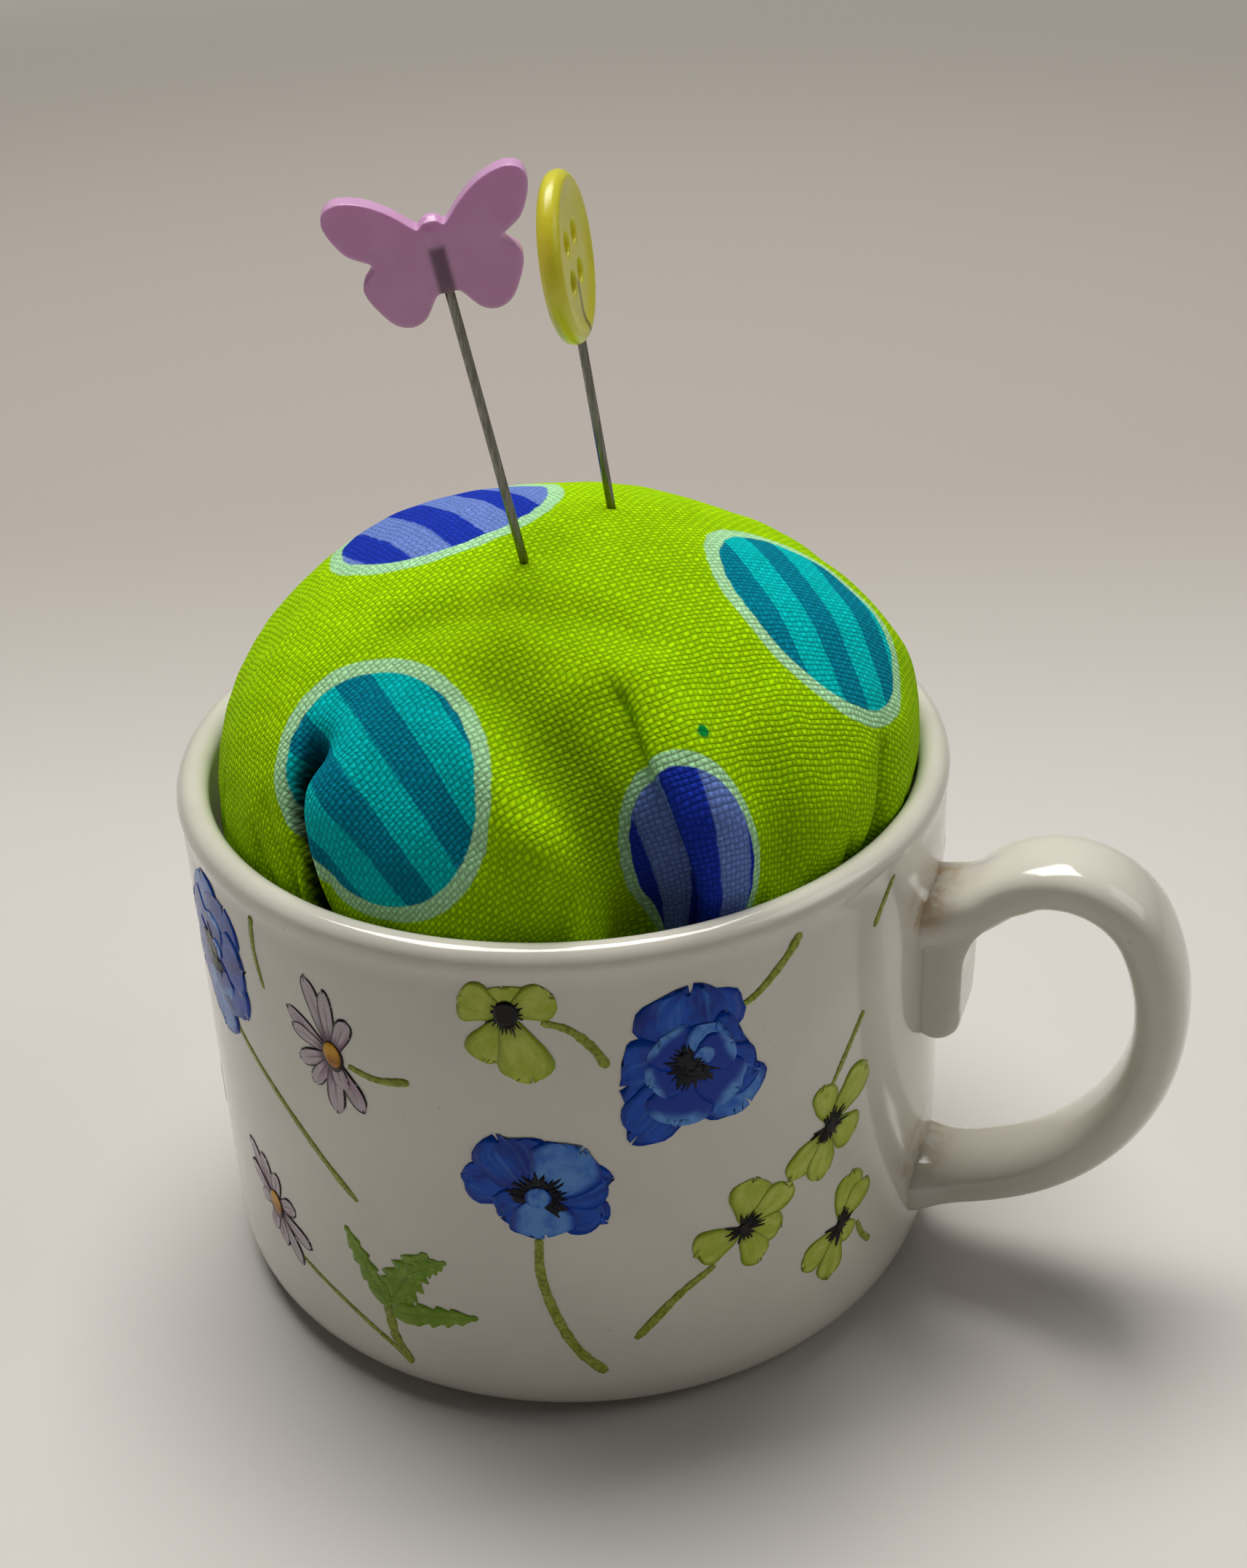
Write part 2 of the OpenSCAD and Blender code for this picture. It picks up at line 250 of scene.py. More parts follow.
class Shader:
    """Short forms for building a node material."""

    INPUTS = {
        "color": "Base Color", "roughness": "Roughness", "metallic": "Metallic", "coat": "Coat Weight",
        "coat_roughness": "Coat Roughness", "sheen": "Sheen Weight", "ior": "IOR",
        "transmission": "Transmission Weight", "scatter": "Subsurface Weight",
        "scatter_radius": "Subsurface Radius", "scatter_scale": "Subsurface Scale",
        "specular": "Specular IOR Level",
    }

    def __init__(self, name):
        self.material = bpy.data.materials.new(name)
        self.material.use_nodes = True
        self.tree = self.material.node_tree
        self.surface = self.tree.nodes["Principled BSDF"]

    def node(self, kind, **settings):
        n = self.tree.nodes.new(kind)
        for key, value in settings.items():
            setattr(n, key, value)
        return n

    def put(self, socket, value):
        if isinstance(value, Value):
            value = value.socket
        if isinstance(value, bpy.types.NodeSocket):
            self.tree.links.new(value, socket)
        elif value is not None:
            socket.default_value = value

    def fill(self, node, *values):
        """Sets a node's first inputs and gives its first output."""
        for socket, value in zip(node.inputs, values):
            self.put(socket, value)
        return Value(self, node.outputs[0])

    def math(self, operation, a, b=None):
        return self.fill(self.node("ShaderNodeMath", operation=operation), a, b)

    def step(self, x, low, high):
        """Smooth step of x from 0 at low to 1 at high."""
        n = self.node("ShaderNodeMapRange", interpolation_type="SMOOTHSTEP")
        return self.fill(n, x, low, high, 0.0, 1.0)

    def mix(self, factor, a, b, blend="MIX"):
        n = self.node("ShaderNodeMix", data_type="RGBA", blend_type=blend)
        for index, value in ((0, factor), (6, a), (7, b)):
            self.put(n.inputs[index], value)
        return n.outputs[2]

    def toned(self, color, tone):
        """A colour made lighter or darker by a number."""
        return self.mix(1.0, color, self.join(tone, tone, tone), "MULTIPLY")

    def vector(self, name):
        return self.node("ShaderNodeAttribute", attribute_name=name).outputs["Vector"]

    def position(self):
        """Place in the row frame in millimetres, which rides with the piece."""
        return self.scaled(self.node("ShaderNodeTexCoord").outputs["Object"], (1000, 1000, 1000))

    def split(self, vector):
        n = self.node("ShaderNodeSeparateXYZ")
        self.put(n.inputs[0], vector)
        return [Value(self, socket) for socket in n.outputs]

    def join(self, x, y, z=0.0):
        return self.fill(self.node("ShaderNodeCombineXYZ"), x, y, z)

    def scaled(self, vector, factors):
        return self.fill(self.node("ShaderNodeVectorMath", operation="MULTIPLY"), vector, factors)

    def noise(self, vector, scale, detail=2.0, roughness=0.5):
        n = self.node("ShaderNodeTexNoise")
        settings = {"Vector": vector, "Scale": scale, "Detail": detail, "Roughness": roughness}
        for key, value in settings.items():
            self.put(n.inputs[key], value)
        return Value(self, n.outputs[0])

    def cell_value(self, vector):
        return self.fill(self.node("ShaderNodeTexWhiteNoise", noise_dimensions="3D"), vector)

    def bump(self, height, depth_mm, strength=1.0):
        n = self.node("ShaderNodeBump")
        for key, value in {"Strength": strength, "Distance": depth_mm * MM, "Height": height}.items():
            self.put(n.inputs[key], value)
        self.put(self.surface.inputs["Normal"], n.outputs[0])

    def set(self, **values):
        for key, value in values.items():
            self.put(self.surface.inputs[self.INPUTS[key]], value)


def paint(piece, shader):
    piece.data.materials.clear()
    piece.data.materials.append(shader.material)
    return piece


# ---------------------------------------------------------------- the cotton cover

# The ball: a half ellipsoid above BALL_Z, drawn in to a neck below it.
COVER_LOW, COVER_HIGH = box_mm("fabric_cover")
BALL_Z = 38.4
DOME_R = COVER_HIGH[1] + 0.3
DOME_H = COVER_HIGH[2] - BALL_Z
NECK_R = 3.0
NECK_Z = COVER_LOW[2] + 0.6
BALL_DEPTH = 30.0
BALL_POWER = 2.6
# How far the dome sits off the middle of the cup.
LEAN_SHIFT = (0.45, 0.2)
# The cloth's mesh: reach and cells a side of its square grid, and the rings below it.
DISC_REACH = 38.0
GRID = 64
LOWER_RINGS = 6


def ball_profile():
    """Radius, height and arc length down the ball's outline, from its crown to its neck."""
    t = np.linspace(0, math.pi / 2, 400)
    radius = DOME_R * np.sin(t)
    height = BALL_Z + DOME_H * np.cos(t)
    drop = np.linspace(0, BALL_DEPTH * 0.9995, 600)[1:]
    low_r = (DOME_R - 0.3) * (1 - (drop / BALL_DEPTH) ** BALL_POWER) ** (1 / BALL_POWER)
    low_r = low_r + 0.3 * np.exp(-drop / 1.5)
    keep = low_r > NECK_R
    radius = np.concatenate([radius, low_r[keep], [NECK_R]])
    height = np.concatenate([height, BALL_Z - drop[keep], [NECK_Z]])
    length = np.concatenate([[0], np.cumsum(np.hypot(np.diff(radius), np.diff(height)))])
    return radius, height, length


PROFILE_R, PROFILE_Z, PROFILE_S = ball_profile()


def on_ball(flat):
    """Places points of the flat cloth, in millimetres from its centre, on the ball."""
    reach = reach_of(flat)
    turn = np.arctan2(flat[:, 1], flat[:, 0])
    radius = np.interp(reach, PROFILE_S, PROFILE_R)
    height = np.interp(reach, PROFILE_S, PROFILE_Z)
    shift = smooth(BALL_Z - 4, BALL_Z + 2, height)
    return np.stack([radius * np.cos(turn) + LEAN_SHIFT[0] * shift,
                     radius * np.sin(turn) + LEAN_SHIFT[1] * shift, height], 1)


def cloth_grid():
    """Flat cloth points and quads: a square grid bent to a disc, then rings down to the neck."""
    side = np.linspace(-1, 1, GRID + 1)
    u, v = [a.ravel() for a in np.meshgrid(side, side)]
    flat = DISC_REACH * np.stack([u * np.sqrt(1 - v * v / 2), v * np.sqrt(1 - u * u / 2)], 1)
    faces = grid_faces(GRID + 1, GRID + 1, False)
    n = GRID + 1
    edge = list(range(GRID)) + [GRID + k * n for k in range(GRID)]
    edge += [n * n - 1 - k for k in range(GRID)] + [n * (n - 1) - k * n for k in range(GRID)]
    ring = flat[edge]
    rings = [edge]
    points = [flat]
    start = len(flat)
    reaches = DISC_REACH + (PROFILE_S[-1] - DISC_REACH) * (np.arange(1, LOWER_RINGS + 1) / LOWER_RINGS)
    for reach in reaches:
        points.append(ring * (reach / DISC_REACH))
        rings.append(list(range(start, start + len(edge))))
        start += len(edge)
    for upper, lower in zip(rings, rings[1:]):
        for k in range(len(edge)):
            m = (k + 1) % len(edge)
            faces.append((upper[k], lower[k], lower[m], upper[m]))
    return np.concatenate(points), faces


def close_neck(piece):
    """Fills the open end of the neck."""
    edit_mesh(piece, lambda b: bmesh.ops.holes_fill(b, edges=[e for e in b.edges if e.is_boundary], sides=0))


def ball_piece(name, node):
    """A piece on the ball's outline, with its flat points, its points on the ball and their normals."""
    flat, faces = cloth_grid()
    start = on_ball(flat)
    piece = mesh_piece(name, start, faces, "cup", node)
    return piece, flat, start, normals_of(piece.data)


def bell(distance, width):
    """Height of a soft bump at a distance from its middle."""
    return np.exp(-((distance / width) ** 2))


def along_path(flat, path):
    """Share of the way along a polyline, and signed distance to its left, for each flat point."""
    path = np.asarray(path, float)
    lengths = np.hypot(*np.diff(path, axis=0).T)
    starts = np.concatenate([[0], np.cumsum(lengths)])
    best = np.full(len(flat), 1e9)
    share = np.zeros(len(flat))
    side = np.zeros(len(flat))
    for a, b, start, length in zip(path, path[1:], starts, lengths):
        way = (b - a) / length
        rel = flat - a
        t = np.clip(rel @ way, 0, length)
        away = rel - t[:, None] * way
        distance = np.hypot(away[:, 0], away[:, 1])
        closer = distance < best
        best = np.where(closer, distance, best)
        share = np.where(closer, (start + t) / starts[-1], share)
        left = way[0] * rel[:, 1] - way[1] * rel[:, 0]
        side = np.where(closer, np.where(left >= 0, distance, -distance), side)
    return share, side


# Direction of the printed stripes in degrees, and the pitch of the threads.
STRIPE_RUN = -44.0
THREAD = 0.395

# Soft hollows between pleats: path on the flat cloth, depth at its start and end, half width.
HOLLOWS = [
    ([(1.9, -15.6), (5.2, -18.0), (9.0, -20.9), (13.2, -24.2), (17.0, -28.0), (20.0, -32.0)], 0.5, 1.7, 2.7),
    ([(-7.2, -11.9), (-2.8, -10.7), (1.3, -9.6), (6.0, -9.4), (9.7, -9.9)], 0.32, 0.25, 1.7),
    ([(18.2, -12.5), (21.3, -14.2), (24.5, -17.5)], 0.1, 0.45, 2.0),
    ([(26.5, -2.2), (31.0, -6.8), (34.0, -9.0)], 0.1, 0.6, 1.5),
    ([(21.0, 20.0), (25.0, 25.0)], 0.1, 0.9, 2.0),
    ([(-2.0, 24.0), (-2.6, 33.0)], 0.1, 1.2, 2.2),
    ([(-20.0, 14.0), (-27.0, 19.0)], 0.1, 1.0, 2.0),
    ([(-26.0, -5.0), (-34.0, -7.0)], 0.1, 0.8, 2.0),
]
# Rounded pleats that stand up beside the hollows, given the same way.
PLEATS = [
    ([(10.5, -11.8), (13.6, -14.8), (17.0, -18.0), (21.5, -21.5), (26.0, -25.5)], 0.45, 1.2, 2.0),
    ([(0.3, -19.9), (3.8, -22.9), (7.2, -25.9), (10.6, -29.5)], 0.35, 1.2, 2.0),
    ([(-8.0, -19.5), (-8.3, -24.0), (-8.2, -30.0)], 0.15, 0.9, 2.3),
]
# Sharp creases: path, depth at start and end, half width left and right of it, lift of the right bank.
CREASES = [
    ([(7.6, -12.9), (9.7, -14.7), (11.3, -16.8), (12.9, -18.7), (15.2, -20.7), (18.3, -23.0),
      (21.5, -25.4), (25.0, -28.5)], 0.65, 1.8, 0.36, 3.4, 0.0),
    ([(-15.7, -22.4), (-15.4, -25.9), (-14.0, -29.5), (-13.4, -34.0)], 0.2, 0.7, 0.3, 0.7, 0.3),
    ([(-18.1, -23.3), (-18.3, -25.9), (-17.7, -27.8), (-17.2, -34.0)], 0.2, 0.7, 0.35, 0.7, 0.25),
    ([(26.9, -2.9), (28.6, -5.0), (31.0, -7.2), (32.5, -8.4)], 0.3, 0.9, 0.3, 1.0, 0.3),
    ([(28.2, -11.4), (33.0, -12.2)], 0.15, 0.8, 0.4, 0.9, 0.1),
    ([(-1.5, 22.0), (-2.4, 33.0)], 0.2, 1.1, 0.6, 1.4, 0.3),
    ([(22.0, 19.0), (26.0, 24.5)], 0.2, 0.9, 0.5, 1.2, 0.2),
    ([(-19.0, 15.0), (-27.0, 20.5)], 0.2, 1.0, 0.5, 1.2, 0.2),
    ([(-25.5, -6.5), (-34.0, -8.0)], 0.15, 0.7, 0.5, 1.2, 0.2),
]
# The deep tuck in the cloth at the front left, from its upper end to the rim.
TUCK = [(-9.4, -19.4), (-10.4, -20.9), (-11.1, -23.0), (-11.3, -25.2), (-11.1, -28.0), (-11.0, -30.5),
        (-10.6, -34.0)]
# How far from a sharp fold the mesh is drawn in to it.
CROWD_REACH = 3.0


def reach_of(flat):
    """Distance of flat points from the middle of the cloth."""
    return np.hypot(flat[:, 0], flat[:, 1])


def above_rim(flat):
    """1 on the open cloth, falling to 0 where it dips under the lip."""
    return 1 - smooth(25, 30, reach_of(flat))


def relief(flat):
    """Height of the soft hollows and pleats at each flat point; pleats die away under the lip."""
    height = np.zeros(len(flat))
    for sign, lines in ((-1, HOLLOWS), (above_rim(flat), PLEATS)):
        for path, start, end, width in lines:
            share, side = along_path(flat, path)
            height += sign * (start + (end - start) * share) * bell(side, width)
    return height


def crowd_to(path, flat, co):
    """Slides mesh points over the cloth towards a sharp fold, so that it can be cut cleanly."""
    share, side = along_path(flat, path)
    near = np.clip(np.abs(side) / CROWD_REACH, 0, 1)
    amount = smooth(0.0, 0.12, share) * smooth(1.0, 0.9, share)
    slide = -side * (1 - near**0.7) * amount
    step = 0.02
    _, side_x = along_path(flat + [step, 0], path)
    _, side_y = along_path(flat + [0, step], path)
    slope = np.stack([(side_x - side) / step, (side_y - side) / step], 1)
    slope /= np.maximum(np.linalg.norm(slope, axis=1), 1e-6)[:, None]
    moved = flat + slope * slide[:, None]
    return moved, co + on_ball(moved) - on_ball(flat)


PUCKERS = 34


def rim_puckers(flat):
    """Depth of the small gathers round the rim, at each flat point."""
    draw = random.Random(5)
    reach = reach_of(flat)
    turn = np.arctan2(flat[:, 1], flat[:, 0])
    depth = np.zeros(len(flat))
    for k in range(PUCKERS):
        middle = TAU * (k + draw.uniform(-0.35, 0.35)) / PUCKERS - math.pi
        top = draw.uniform(25.5, 30.5)
        width = draw.uniform(0.5, 1.1)
        size = draw.uniform(0.12, 0.42)
        away = (np.mod(turn - middle + math.pi, TAU) - math.pi) * np.minimum(reach, 30)
        depth += size * smooth(top, top + 5, reach) * np.exp(-np.abs(away / width) ** 1.4)
    return depth


def keep_off_cup(co):
    """Pushes points in off the rounded lip and the wall."""
    radius = np.hypot(co[:, 0], co[:, 1])
    height = co[:, 2]
    clear = LIP_R + 0.06
    inside_wall = np.where(height < LIP_Z, LIP_X - clear, 1e9)
    rise = np.clip(height - LIP_Z, 0, clear)
    on_lip = (height >= LIP_Z) & (height < LIP_Z + clear)
    over_lip = np.where(on_lip, LIP_X - np.sqrt(clear**2 - rise**2), 1e9)
    limit = np.minimum(inside_wall, over_lip)
    factor = np.where(radius > limit, limit / np.maximum(radius, 1e-6), 1)
    out = co.copy()
    out[:, :2] *= factor[:, None]
    return out


SIM_SCALE = 20.0
SIM_FRAMES = 20
SIM_PRESSURE = 4.0
# The furthest that the simulation may move a point.
SIM_CAP = 1.0


def puff_up(piece, held):
    """Cloth simulation, enlarged by SIM_SCALE: the cover fills with pressure between its held points."""
    start = points_of(piece.data)
    piece.data.transform(Matrix.Scale(SIM_SCALE, 4))
    group = piece.vertex_groups.new(name="held")
    for index, weight in enumerate(held):
        if weight > 0.01:
            group.add([index], float(weight), "REPLACE")
    cloth = piece.modifiers.new("Cloth", "CLOTH")
    settings = cloth.settings
    settings.quality = 6
    settings.mass = 0.3
    settings.tension_stiffness = settings.compression_stiffness = 25
    settings.shear_stiffness = 8
    settings.bending_stiffness = 0.6
    settings.use_pressure = True
    settings.uniform_pressure_force = SIM_PRESSURE
    settings.vertex_group_mass = "held"
    settings.effector_weights.gravity = 0
    cloth.collision_settings.use_collision = False
    cloth.point_cache.frame_start = 1
    cloth.point_cache.frame_end = SIM_FRAMES
    SCENE.frame_start = 1
    SCENE.frame_end = SIM_FRAMES
    for f in range(1, SIM_FRAMES + 1):
        SCENE.frame_set(f)
    bake_modifiers(piece)
    piece.vertex_groups.clear()
    piece.data.transform(Matrix.Scale(1 / SIM_SCALE, 4))
    SCENE.frame_set(1)
    moved = points_of(piece.data) - start
    length = np.linalg.norm(moved, axis=1)
    factor = np.minimum(1, SIM_CAP * MM / np.maximum(length, 1e-9))
    set_points(piece.data, start + moved * factor[:, None])


def with_zero(flat):
    return np.column_stack([flat, 0 * flat[:, 0]])


def thread_lines(flat):
    """Thread coordinates: the weave runs the way the printed stripes do."""
    return with_zero(turned(flat[:, 0], flat[:, 1], -(STRIPE_RUN + 90)))


def pin_line(pin):
    """The middle of a pin shaft's upper end, in millimetres, and the unit vector out of the cushion."""
    axis = np.array(next(j["axis"] for j in frame["joints"] if j["name"] == pin + "_pin_slide"), float)
    co = points_of(frame["nodes"][pin + "_shaft"].data) / MM
    reach = co @ axis
    return co[reach > reach.max() - 0.01].mean(0), axis


def lumps(flat):
    """Slight unevenness of the stuffing under the cloth."""
    x, y = flat[:, 0], flat[:, 1]
    return (0.10 * np.sin(0.34 * x + 0.8) * np.sin(0.29 * y - 0.4) + 0.05 * np.sin(0.71 * x - 0.52 * y + 1.7)
            + 0.03 * np.sin(1.3 * x + 0.9 * y) * np.sin(1.1 * y - 0.3 * x))


# Broad differences of the real ball from a true ellipsoid: place on the flat cloth, height, width.
BULGES = [((0, 0), 0.45, 13.0), ((-28, -8), -0.35, 7.0), ((-15, 6.5), 0.4, 8.0), ((9.5, 12), -0.25, 6.0),
          ((24, 10), 0.4, 5.5)]


def make_cover():
    piece, flat, start, outward = ball_piece("cotton_cover", "fabric_cover")
    add_vectors(piece.data, "print", with_zero(flat))
    carved = start + outward * (0.7 * relief(flat) - 0.3)[:, None]
    set_points(piece.data, keep_off_cup(carved) * MM)
    held = smooth(31.5, 34.5, reach_of(flat))
    for path, _, _, width in HOLLOWS:
        _, side = along_path(flat, path)
        held = np.maximum(held, 0.75 * bell(side, 0.6 * width))
    puff_up(piece, held)
    subdivide(piece, 2)
    detail_cover(piece)
    close_neck(piece)
    return piece


def surface_push(flat):
    """How far the finer relief moves each flat point outwards, and how much painted shade the deep tuck puts
    on the point.
    """
    rim_fade = above_rim(flat)
    push = lumps(flat) + 0.9 * relief(flat) - rim_puckers(flat)
    for path, start, end, left, right, lift in CREASES:
        share, side = along_path(flat, path)
        width = np.where(side > 0, left, right)
        depth = (start + (end - start) * share) * smooth(-0.02, 0.12, share)
        bank = lift * smooth(0.0, 0.3, share) * bell(side + 2.2, 1.6)
        push += bank * rim_fade - depth * np.exp(-np.abs(side / width) ** 1.2)
    share, side = along_path(flat, TUCK)
    opened = smooth(0.05, 0.24, share)
    push -= 3.4 * opened * np.exp(-np.maximum(-side - 1.1, 0) / 0.3) * np.exp(-np.maximum(side, 0) / 0.12)
    push -= 0.9 * bell(reach_of(flat - TUCK[1]), 1.5)
    push += 0.3 * opened * rim_fade * bell(side + 2.7, 1.0)
    # painted shade: a band along the deep tuck that the cotton material darkens almost to black
    cut = opened * smooth(-1.95, -1.5, side) * smooth(0.25, 0.08, side)
    above_neck = 1 - smooth(38, 44, reach_of(flat))
    push *= above_neck
    for middle, height, width in BULGES:
        push += height * bell(reach_of(flat - middle), width)
    return push, cut * above_neck


def detail_cover(piece):
    """Creases, gathers, the deep tuck, lumps and the dimples where the pins go in."""
    mesh = piece.data
    flat = read_vectors(mesh.attributes["print"].data, "vector")[:, :2]
    co = points_of(mesh) / MM
    for path in (TUCK, CREASES[0][0]):
        flat, co = crowd_to(path, flat, co)
    set_points(mesh, co * MM)
    add_vectors(mesh, "print", with_zero(flat))
    normals = normals_of(mesh)
    push, cut = surface_push(flat)
    for pin in ("butterfly", "button"):
        through, axis = pin_line(pin)
        away = co - through
        away = np.linalg.norm(away - (away @ axis)[:, None] * axis, axis=1)
        push -= np.where(co[:, 2] > BALL_Z, 0.22 * bell(away, 0.6) + 0.1 * bell(away, 1.8), 0)
    co = keep_off_cup(co + normals * push[:, None])
    set_points(mesh, co * MM)
    # painted shade for the cotton material, kept in the fold attribute: the tuck band, and darker hollows and
    # creases
    hollow_shade = np.clip(-relief(flat) / 1.3, 0, 1) + np.clip(-push / 2.5, 0, 1)
    add_vectors(mesh, "fold", np.stack([cut, np.clip(hollow_shade, 0, 1), 0 * cut], 1))
    add_vectors(mesh, "cloth", thread_lines(flat))


# Printed discs: centre, two half widths, turn of the first, where a dark stripe starts, colours.
DISCS = [
    (-5.15, -23.3, 7.9, 9.9, 48, 1.5, "teal"),
    (18.0, 2.0, 7.3, 9.5, 52, -1.6, "teal"),
    (-9.7, 2.8, 8.5, 9.1, 20, -2.3, "blue"),
    (18.7, -22.6, 5.1, 7.9, 50, -0.8, "blue"),
    (-25.5, 11.5, 8.0, 9.0, 60, 0.4, "teal"),
    (-7.0, 25.0, 8.3, 9.0, 10, 2.0, "blue"),
    (13.5, 26.0, 7.8, 9.0, 70, -1.2, "teal"),
]
STRIPE_PITCH = 4.85
SPECK = (14.9, -14.7)
PRINT = {
    "teal": (linear(0, 204, 206), linear(0, 140, 166)),
    "blue": (linear(118, 146, 224), linear(32, 60, 190)),
}
LIME = linear(176, 234, 0)
# painted highlight colour for the crowns of the threads
LIME_HIGHLIGHT = linear(214, 250, 8)
MINT = linear(188, 246, 186)


def printed_disc(s, x, y, disc):
    """(inside the mint ring, inside the stripes, stripe colour) of one printed disc."""
    cx, cy, half_a, half_b, turn, start, colours = disc

    def along(degrees):
        a = math.radians(degrees)
        return (x - cx) * math.cos(a) + (y - cy) * math.sin(a)

    a = along(turn) / half_a
    b = along(turn + 90) / half_b
    e = s.math("SQRT", a * a + b * b)
    across = along(STRIPE_RUN + 90) - (start - 8 * STRIPE_PITCH)
    phase = s.math("FRACT", across / STRIPE_PITCH)
    light, dark = PRINT[colours]
    colour = s.mix(s.step(phase, 0.0, 0.035) * s.step(phase, 0.52, 0.485), light, dark)
    return s.step(e, 1.012, 0.99), s.step(e, 0.885, 0.865), colour


def cotton_shader():
    s = Shader("printed_cotton")
    u, v, _ = s.split(s.vector("cloth"))
    flat = s.vector("print")
    wobble = s.noise(flat, 0.9, 3)
    x, y, _ = s.split(flat)
    x = x + (wobble - 0.5) * 0.5
    # plain weave: in every other cell the warp thread lies on top
    drift = (s.noise(flat, 0.35, 2) - 0.5) * 0.8
    a = (u + drift) / THREAD
    b = (v + drift) / THREAD
    cell_a, cell_b = s.math("FLOOR", a), s.math("FLOOR", b)
    weft_up = s.math("FRACT", (cell_a + cell_b) * 0.5) * 2

    def hump(t):
        return s.math("COSINE", (s.math("FRACT", t) - 0.5) * math.pi)

    across_a, across_b = hump(a), hump(b)
    warp = across_a ** 0.8 * (across_b * 0.5 + 0.12)
    weft = across_b ** 0.7 * (across_a * 0.55 + 0.45)
    height = warp * (1.0 - weft_up) + weft * weft_up
    # colour of single threads and of single crossings
    slub = s.noise(s.join(cell_a * 3.1, b * 0.14), 1.0, 3)
    slub_weft = s.noise(s.join(a * 0.14, cell_b * 3.7, 9.0), 1.0, 3)
    yarn = slub * (1.0 - weft_up) + slub_weft * weft_up
    crossing = s.cell_value(s.join(cell_a, cell_b, 3.0))
    base = s.mix(s.step(s.noise(flat, 0.12, 3), 0.3, 0.7), LIME, linear(164, 222, 0))
    # painted highlight: the crowns of the threads are lightened
    base = s.mix(s.step(height, 0.5, 1.0) * 0.55, base, LIME_HIGHLIGHT)
    for disc in DISCS:
        ring, inside, colour = printed_disc(s, x, y, disc)
        base = s.mix(ring, base, MINT)
        base = s.mix(inside, base, colour)
    speck = (x - SPECK[0]) ** 2 + (y - SPECK[1]) ** 2
    base = s.mix(s.step(speck, 0.3, 0.1), base, linear(0, 150, 60))
    bright = yarn * 0.45 + 0.74 + crossing * 0.14
    # painted shade: the low gaps between the threads are darkened
    bright = bright * (s.step(height, 0.05, 0.8) * 0.4 + 0.64)
    # painted shade: the deep tuck is darkened almost to black, hollows and creases by nearly half
    fold, hollow_shade, _ = s.split(s.vector("fold"))
    bright = bright * (1.0 - fold * 0.97) * (1.0 - hollow_shade * 0.45)
    s.set(color=s.toned(base, bright), roughness=0.85, specular=0.05)
    fibre = s.noise(s.join(a * 1.5, b * 1.5), 3.0, 3)
    s.bump(height + fibre * 0.25, 0.085)
    return s


# Gap between the cover's outside and the fibrefill.
STUFFING_INSET = 1.0


def make_stuffing():
    """Fibrefill that follows the inside of the cover, with a channel for each pin."""
    piece, flat, start, outward = ball_piece("fibrefill", "stuffing")
    deepest = np.zeros(len(flat))
    for spread in (0.0, 0.7, 1.4):
        for k in range(8):
            around = flat + [spread * math.cos(TAU * k / 8), spread * math.sin(TAU * k / 8)]
            deepest = np.minimum(deepest, surface_push(around)[0] + 0.7 * relief(around))
    co = start + outward * (deepest - STUFFING_INSET)[:, None]
    co[:, 2] += 2.0 * smooth(PROFILE_S[-1] - 6, PROFILE_S[-1], reach_of(flat))
    set_points(piece.data, keep_off_cup(co) * MM)
    close_neck(piece)
    return piece


# ---------------------------------------------------------------- the china cup

# The cup's foot ring, floor and outer corner; SPINS is the number of points round it.
FOOT_H = 1.2
FOOT_R = 23.0
FOOT_W = 3.0
FLOOR_Z = 4.2
CORNER_H = 3.4
CORNER_W = 0.9
INNER_CORNER = 5.0
SPINS = 288


def arc(cx, cz, radius, start, end, steps):
    turns = [math.radians(start + (end - start) * i / steps) for i in range(steps + 1)]
    return [(cx + radius * math.cos(a), cz + radius * math.sin(a)) for a in turns]


def cup_profile():
    """Section of the cup, from the middle of its underside up the outside and down inside to its middle."""
    inner_r = WALL_R - WALL_T
    neck = math.radians(-18)
    corner = [(WALL_R - CORNER_W + CORNER_W * math.cos(math.radians(a)),
               FOOT_H + CORNER_H + CORNER_H * math.sin(math.radians(a))) for a in np.linspace(-84, 0, 12)]
    points = [(r, FOOT_H) for r in np.linspace(0.02, FOOT_R - FOOT_W - 0.6, 8)]
    points += arc(FOOT_R - FOOT_W - 0.6, FOOT_H - 0.5, 0.5, 90, 10, 4)
    points += arc(FOOT_R - FOOT_W + 0.5, 0.45, 0.45, 180, 270, 5)
    points += arc(FOOT_R - 0.45, 0.45, 0.45, 270, 350, 5)
    points += arc(FOOT_R + 0.55, FOOT_H - 0.35, 0.4, 170, 90, 4)
    points += corner
    points += [(WALL_R, z) for z in np.linspace(FOOT_H + CORNER_H + 1.5, LIP_Z - 3.0, 18)]
    points += [(WALL_R, LIP_Z - 2.0), (WALL_R - 0.05, LIP_Z - 1.2)]
    points.append((LIP_X + LIP_R * math.cos(neck) - 0.02, LIP_Z + LIP_R * math.sin(neck) - 0.2))
    points += arc(LIP_X, LIP_Z, LIP_R, -8, 188, 18)
    points += [(inner_r, z) for z in np.linspace(LIP_Z - 1.5, FLOOR_Z + INNER_CORNER, 14)]
    points += arc(inner_r - INNER_CORNER, FLOOR_Z + INNER_CORNER, INNER_CORNER, -8, -90, 9)
    points += [(r, FLOOR_Z) for r in np.linspace(inner_r - INNER_CORNER - 2, 0.02, 8)]
    return np.array(points)


def cup_wave(angle, height):
    """How far the cast wall is out of round."""
    return (0.03 * np.sin(3 * angle + 0.7) + 0.015 * np.sin(7 * angle + 2.0)) * smooth(6, 30, height)


